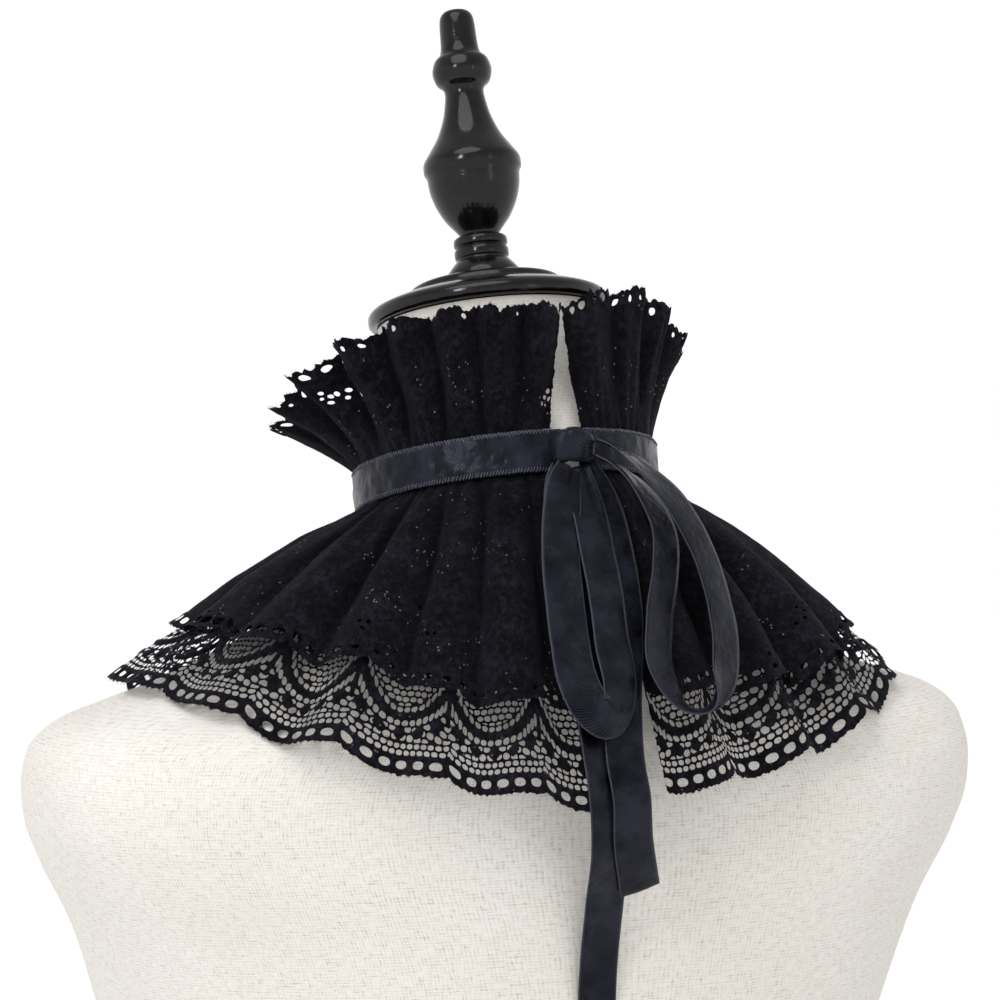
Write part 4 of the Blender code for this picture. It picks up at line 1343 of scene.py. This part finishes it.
def neck_ribbon_radius(angle, side):
    """The ribbon's uneven lie round the neck: side goes from -1 at its lower edge to 1 at its upper one."""
    small = 0.34 * noise(angle / 3.4, side * 2.0 + 8.0, 71)
    broad = 0.30 * noise(angle / 9.0, side + 3.0, 72)
    return RIBBON_SEAT + small + broad - 0.25 * np.abs(side) ** 6


def ribbon_piece(name, node, lines, uvs):
    """A ribbon through lines of points that run along it, one above the other."""
    points = place_all(np.concatenate(lines))
    faces = grid_faces(len(lines), len(lines[0]))
    piece = new_object(name, points, faces, satin, uvs=np.concatenate(uvs) * MM)
    thicken(piece, RIBBON_THICKNESS)
    stands_for(node)
    return piece


def build_neck_ribbon():
    angle = np.linspace(RIBBON_BACK_GAP, 360.0 - RIBBON_BACK_GAP, 420)
    lines, uvs = [], []
    for side in np.linspace(-1.0, 1.0, 13):
        level = np.full(len(angle), side)
        lines.append(ring_point(angle, neck_ribbon_radius(angle, level), RIBBON_HALF * level))
        uvs.append(np.stack((RIBBON_HALF * level, np.radians(angle) * RIBBON_SEAT), axis=-1))
    return ribbon_piece("neck_ribbon_satin", "neck_ribbon", lines, uvs)


def build_stitches():
    """Whip stitches of fine thread over both edges of the neck ribbon, each a slanting four-sided rod."""
    rng = np.random.default_rng(91)
    width = math.degrees(STITCH_HALF_WIDTH / RIBBON_SEAT)
    corners = ((-width, 0.0), (0.0, STITCH_HALF_DEPTH), (width, 0.0), (0.0, -STITCH_HALF_DEPTH))
    first = RIBBON_BACK_GAP + STITCH_END_GAP
    last = 360.0 - RIBBON_BACK_GAP - STITCH_END_GAP
    count = int(math.radians(last - first) * RIBBON_SEAT / STITCH_PITCH)
    rod = np.array(tube_faces(len(STITCH_ROUTE), len(corners)))
    points, faces = [], []
    for side in (-1.0, 1.0):
        for middle in np.linspace(first, last, count):
            middle = middle + rng.normal(0.0, 0.12)
            radius = float(neck_ribbon_radius(middle, side)) + RIBBON_THICKNESS / 2
            faces += (rod + len(points)).tolist()
            for row in STITCH_ROUTE:
                angle = middle + math.degrees(row.along / RIBBON_SEAT)
                height = side * (row.height + rng.normal(0.0, 0.06))
                for turn, out in corners:
                    points.append(ring_point(angle + turn, radius + row.lift + out, height))
    piece = new_object("ribbon_stitches", place_all(np.array(points)), faces, thread)
    return piece


def smooth_route(rows, steps):
    """Points on a smooth curve through a route's rows, with the turn and size of the width at each."""
    values = np.array(rows, dtype=float)
    padded = np.concatenate((values[:1], values, values[-1:]))
    samples = []
    for i in range(len(values) - 1):
        a, b, c, d = padded[i:i + 4]
        slope, bend, twist = c - a, 2 * a - 5 * b + 4 * c - d, 3 * b - a - 3 * c + d
        for t in np.linspace(0.0, 1.0, steps, endpoint=False):
            samples.append(0.5 * (2 * b + slope * t + bend * t ** 2 + twist * t ** 3))
    samples.append(values[-1])
    return np.array(samples)


def build_ribbon(name, node, route, seed, turns_flat=False):
    """A ribbon of the bow, a little cupped and rippled across its width, and its length.

    One that turns flat keeps its face to the back where it turns from down to up.
    """
    samples = smooth_route(route, 10)
    middle = samples[:, :3]
    run = unit(np.gradient(middle, axis=0))
    turn = np.radians(samples[:, 3])
    across = np.stack((np.cos(turn), np.sin(turn), 0.0 * turn), axis=-1)
    if turns_flat:
        face = np.stack((-np.sin(turn), np.cos(turn), 0.0 * turn), axis=-1)
        across = np.cross(face, run)
    across = unit(across - run * np.sum(across * run, axis=-1)[:, None])
    out = unit(np.cross(run, across))
    along = np.concatenate(([0.0], np.cumsum(np.linalg.norm(np.diff(middle, axis=0), axis=1))))
    width = samples[:, 4]
    pinch = np.clip(1.0 - width / RIBBON_WIDTH, 0.0, 1.0)
    lines, uvs = [], []
    for side in np.linspace(-1.0, 1.0, 11):
        fold = pinch * 1.6 * np.cos(side * 6.5 + seed)
        cup = 0.35 * (1.0 - side ** 2) * np.sin(along / 21.0 + seed)
        ripple = 0.18 * noise(along / 9.0, np.full(len(along), side * 1.2 + 5.0), seed + 80)
        lines.append(middle + across * (width / 2 * side)[:, None] + out * (fold + cup + ripple)[:, None])
        uvs.append(np.stack((np.full(len(along), side * RIBBON_HALF), along), axis=-1))
    return ribbon_piece(name, node, lines, uvs), along[-1]


def build_knot():
    """The knot: a flat wrap of ribbon with soft creases running over it."""
    sides = 96
    turn = np.linspace(0.0, math.tau, sides, endpoint=False)
    rings, uvs = [], []
    for across in np.linspace(-KNOT_END, KNOT_END, 64):
        swell = (1.0 - abs(across) ** KNOT_ALONG) ** (1.0 / KNOT_ALONG)
        y, z = superellipse(turn, KNOT_HALF[1] * swell, KNOT_HALF[2] * swell, KNOT_ROUND)
        high = 0.06 * np.exp(-((across - 0.34 - 0.10 * np.sin(turn + 0.6)) / 0.12) ** 2)
        low = 0.05 * np.exp(-((across + 0.42 + 0.12 * np.sin(turn * 2.0)) / 0.15) ** 2)
        shrink = 1.0 - (high + low)
        front = np.where(y > 0.0, 1.0 - 0.25 * across ** 2, 1.0)
        arch = KNOT_ARCH * (0.75 - across ** 2)
        offset = (np.full(sides, KNOT_HALF[0] * across), y * shrink * front, z * shrink + arch)
        ring = np.array(KNOT_CENTRE) + np.stack(offset, axis=-1)
        rings.append(ring)
        steps = np.linalg.norm(np.diff(ring, axis=0, append=ring[:1]), axis=1)
        uvs.append(np.stack((np.full(sides, across * KNOT_HALF[2]), np.cumsum(steps)), axis=-1))
    piece = closed_tube("knot", np.array(rings), np.concatenate(uvs) * MM, satin, 60.0)
    stands_for("bow_knot")


neck_ribbon = build_neck_ribbon()
build_knot()
for name, node, route, seed, rests_on in (
    ("loop_long", "bow_loop_long", LONG_LOOP_ROUTE, 1, "upper_tier_top"),
    ("loop_open", "bow_loop_open", OPEN_LOOP_ROUTE, 2, "upper_tier_top"),
    ("tail_short", "bow_tail_short", SHORT_TAIL_ROUTE, 3, "tail_long"),
    ("tail_long", "bow_tail_long", LONG_TAIL_ROUTE, 4, "form_cover"),
):
    piece, length = build_ribbon(name, node, route, seed, turns_flat=name == "loop_long")
stitches = build_stitches()

# What each piece of cloth was cut to

# Lengths of a strip's cut edges at the hem and at the ribbon, and its depth between them
LOWER_CUT, HALF_LOWER_CUT, UPPER_CUT, FRILL_CUT = table("hem neck depth", (
    (LACE_LENGTH, 560.0, 108.0),
    (HALF_LACE, 280.0, 108.0),
    (800.0, 480.0, 86.0),
    (FRILL_LENGTH, 480.0, FRILL_HEIGHT),
))


# Camera, light and backdrop

CAMERA_AZIMUTH = math.radians(155.0)
CAMERA_ELEVATION = math.radians(4.0)
CAMERA_DISTANCE = 1.8
CAMERA_LENS = 162.0
CAMERA_SENSOR = 36.0

# How far left of the neck ring's middle and below it the camera aims
AIM_LEFT = 0.0024
AIM_DOWN = 0.0084

# How bright the white room is low down and overhead, and the heights between which that changes
WALL_GLOW = 1.06
CEILING_GLOW = 0.62
WALL_TOP = 0.12
CEILING_START = 0.60

FLOOR_REACH = 12.0

# The lamps: metres from the collar towards the camera, to its right and up; the angle that the sun fills or
# a lamp's sides in metres; and the sun's strength or a lamp's watts
LAMPS = table("name kind towards right up size strength", (
    ("sun", "SUN", 1.0, -0.45, 1.9, math.radians(50.0), 1.42),
    ("key", "AREA", 1.4, -0.80, 0.72, (0.23, 0.42), 5.6),
    ("side", "AREA", 1.15, 1.15, 0.45, (0.22, 0.6), 0.5),
))


def add_aimed(name, data, location, target):
    """A camera or lamp at a place, that looks at another."""
    thing = bpy.data.objects.new(name, data)
    bpy.context.scene.collection.objects.link(thing)
    thing.location = location
    thing.rotation_mode = "QUATERNION"
    thing.rotation_quaternion = (location - target).to_track_quat("Z", "Y")
    return thing


def build_camera():
    """The camera, and the directions towards it and to its right."""
    a, e = CAMERA_AZIMUTH, CAMERA_ELEVATION
    back = Vector((math.sin(a) * math.cos(e), -math.cos(a) * math.cos(e), math.sin(e)))
    right = Vector((math.cos(a), math.sin(a), 0.0))
    up = back.cross(right)
    target = place(0.0, 0.0, 0.0) - right * AIM_LEFT - up * AIM_DOWN
    data = bpy.data.cameras.new("camera")
    data.lens = CAMERA_LENS
    data.sensor_width = CAMERA_SENSOR
    bpy.context.scene.camera = add_aimed("camera", data, target + back * CAMERA_DISTANCE, target)
    return back, right


def build_lamp(lamp, back, right, target):
    data = bpy.data.lights.new(lamp.name, lamp.kind)
    data.energy = lamp.strength
    if lamp.kind == "SUN":
        data.angle = lamp.size
    else:
        data.shape = "RECTANGLE"
        data.size, data.size_y = lamp.size
    location = target + back * lamp.towards + right * lamp.right + Vector((0.0, 0.0, lamp.up))
    add_aimed(lamp.name, data, location, target)


def build_floor():
    mesh = bpy.data.meshes.new("floor")
    corners = [(x * FLOOR_REACH, y * FLOOR_REACH, 0.0) for x, y in ((-1, -1), (1, -1), (1, 1), (-1, 1))]
    mesh.from_pydata(corners, [], [(0, 1, 2, 3)])
    floor = bpy.data.objects.new("floor", mesh)
    bpy.context.scene.collection.objects.link(floor)
    paint = Paint("pale_floor")
    paint.set(base_color=(0.95, 0.95, 0.95, 1.0), roughness=0.9, specular_ior_level=0.1)
    mesh.materials.append(paint.material)


def build_room():
    """A white room, darker overhead, that lights the form from all sides."""
    world = bpy.data.worlds.new("studio")
    world.use_nodes = True
    tree = world.node_tree
    background = tree.nodes["Background"]
    background.inputs["Color"].default_value = (1.0, 1.0, 1.0, 1.0)
    direction = tree.nodes.new("ShaderNodeTexCoord")
    parts = tree.nodes.new("ShaderNodeSeparateXYZ")
    tree.links.new(direction.outputs["Generated"], parts.inputs["Vector"])
    glow = tree.nodes.new("ShaderNodeMapRange")
    glow.interpolation_type = "SMOOTHSTEP"
    glow.inputs["From Min"].default_value = WALL_TOP
    glow.inputs["From Max"].default_value = CEILING_START
    glow.inputs["To Min"].default_value = WALL_GLOW
    glow.inputs["To Max"].default_value = CEILING_GLOW
    tree.links.new(parts.outputs["Z"], glow.inputs["Value"])
    tree.links.new(glow.outputs["Result"], background.inputs["Strength"])
    bpy.context.scene.world = world
    bpy.context.scene.view_settings.view_transform = "Standard"


back, right = build_camera()
build_floor()
build_room()
for lamp in LAMPS:
    build_lamp(lamp, back, right, place(0.0, 0.0, -40.0))
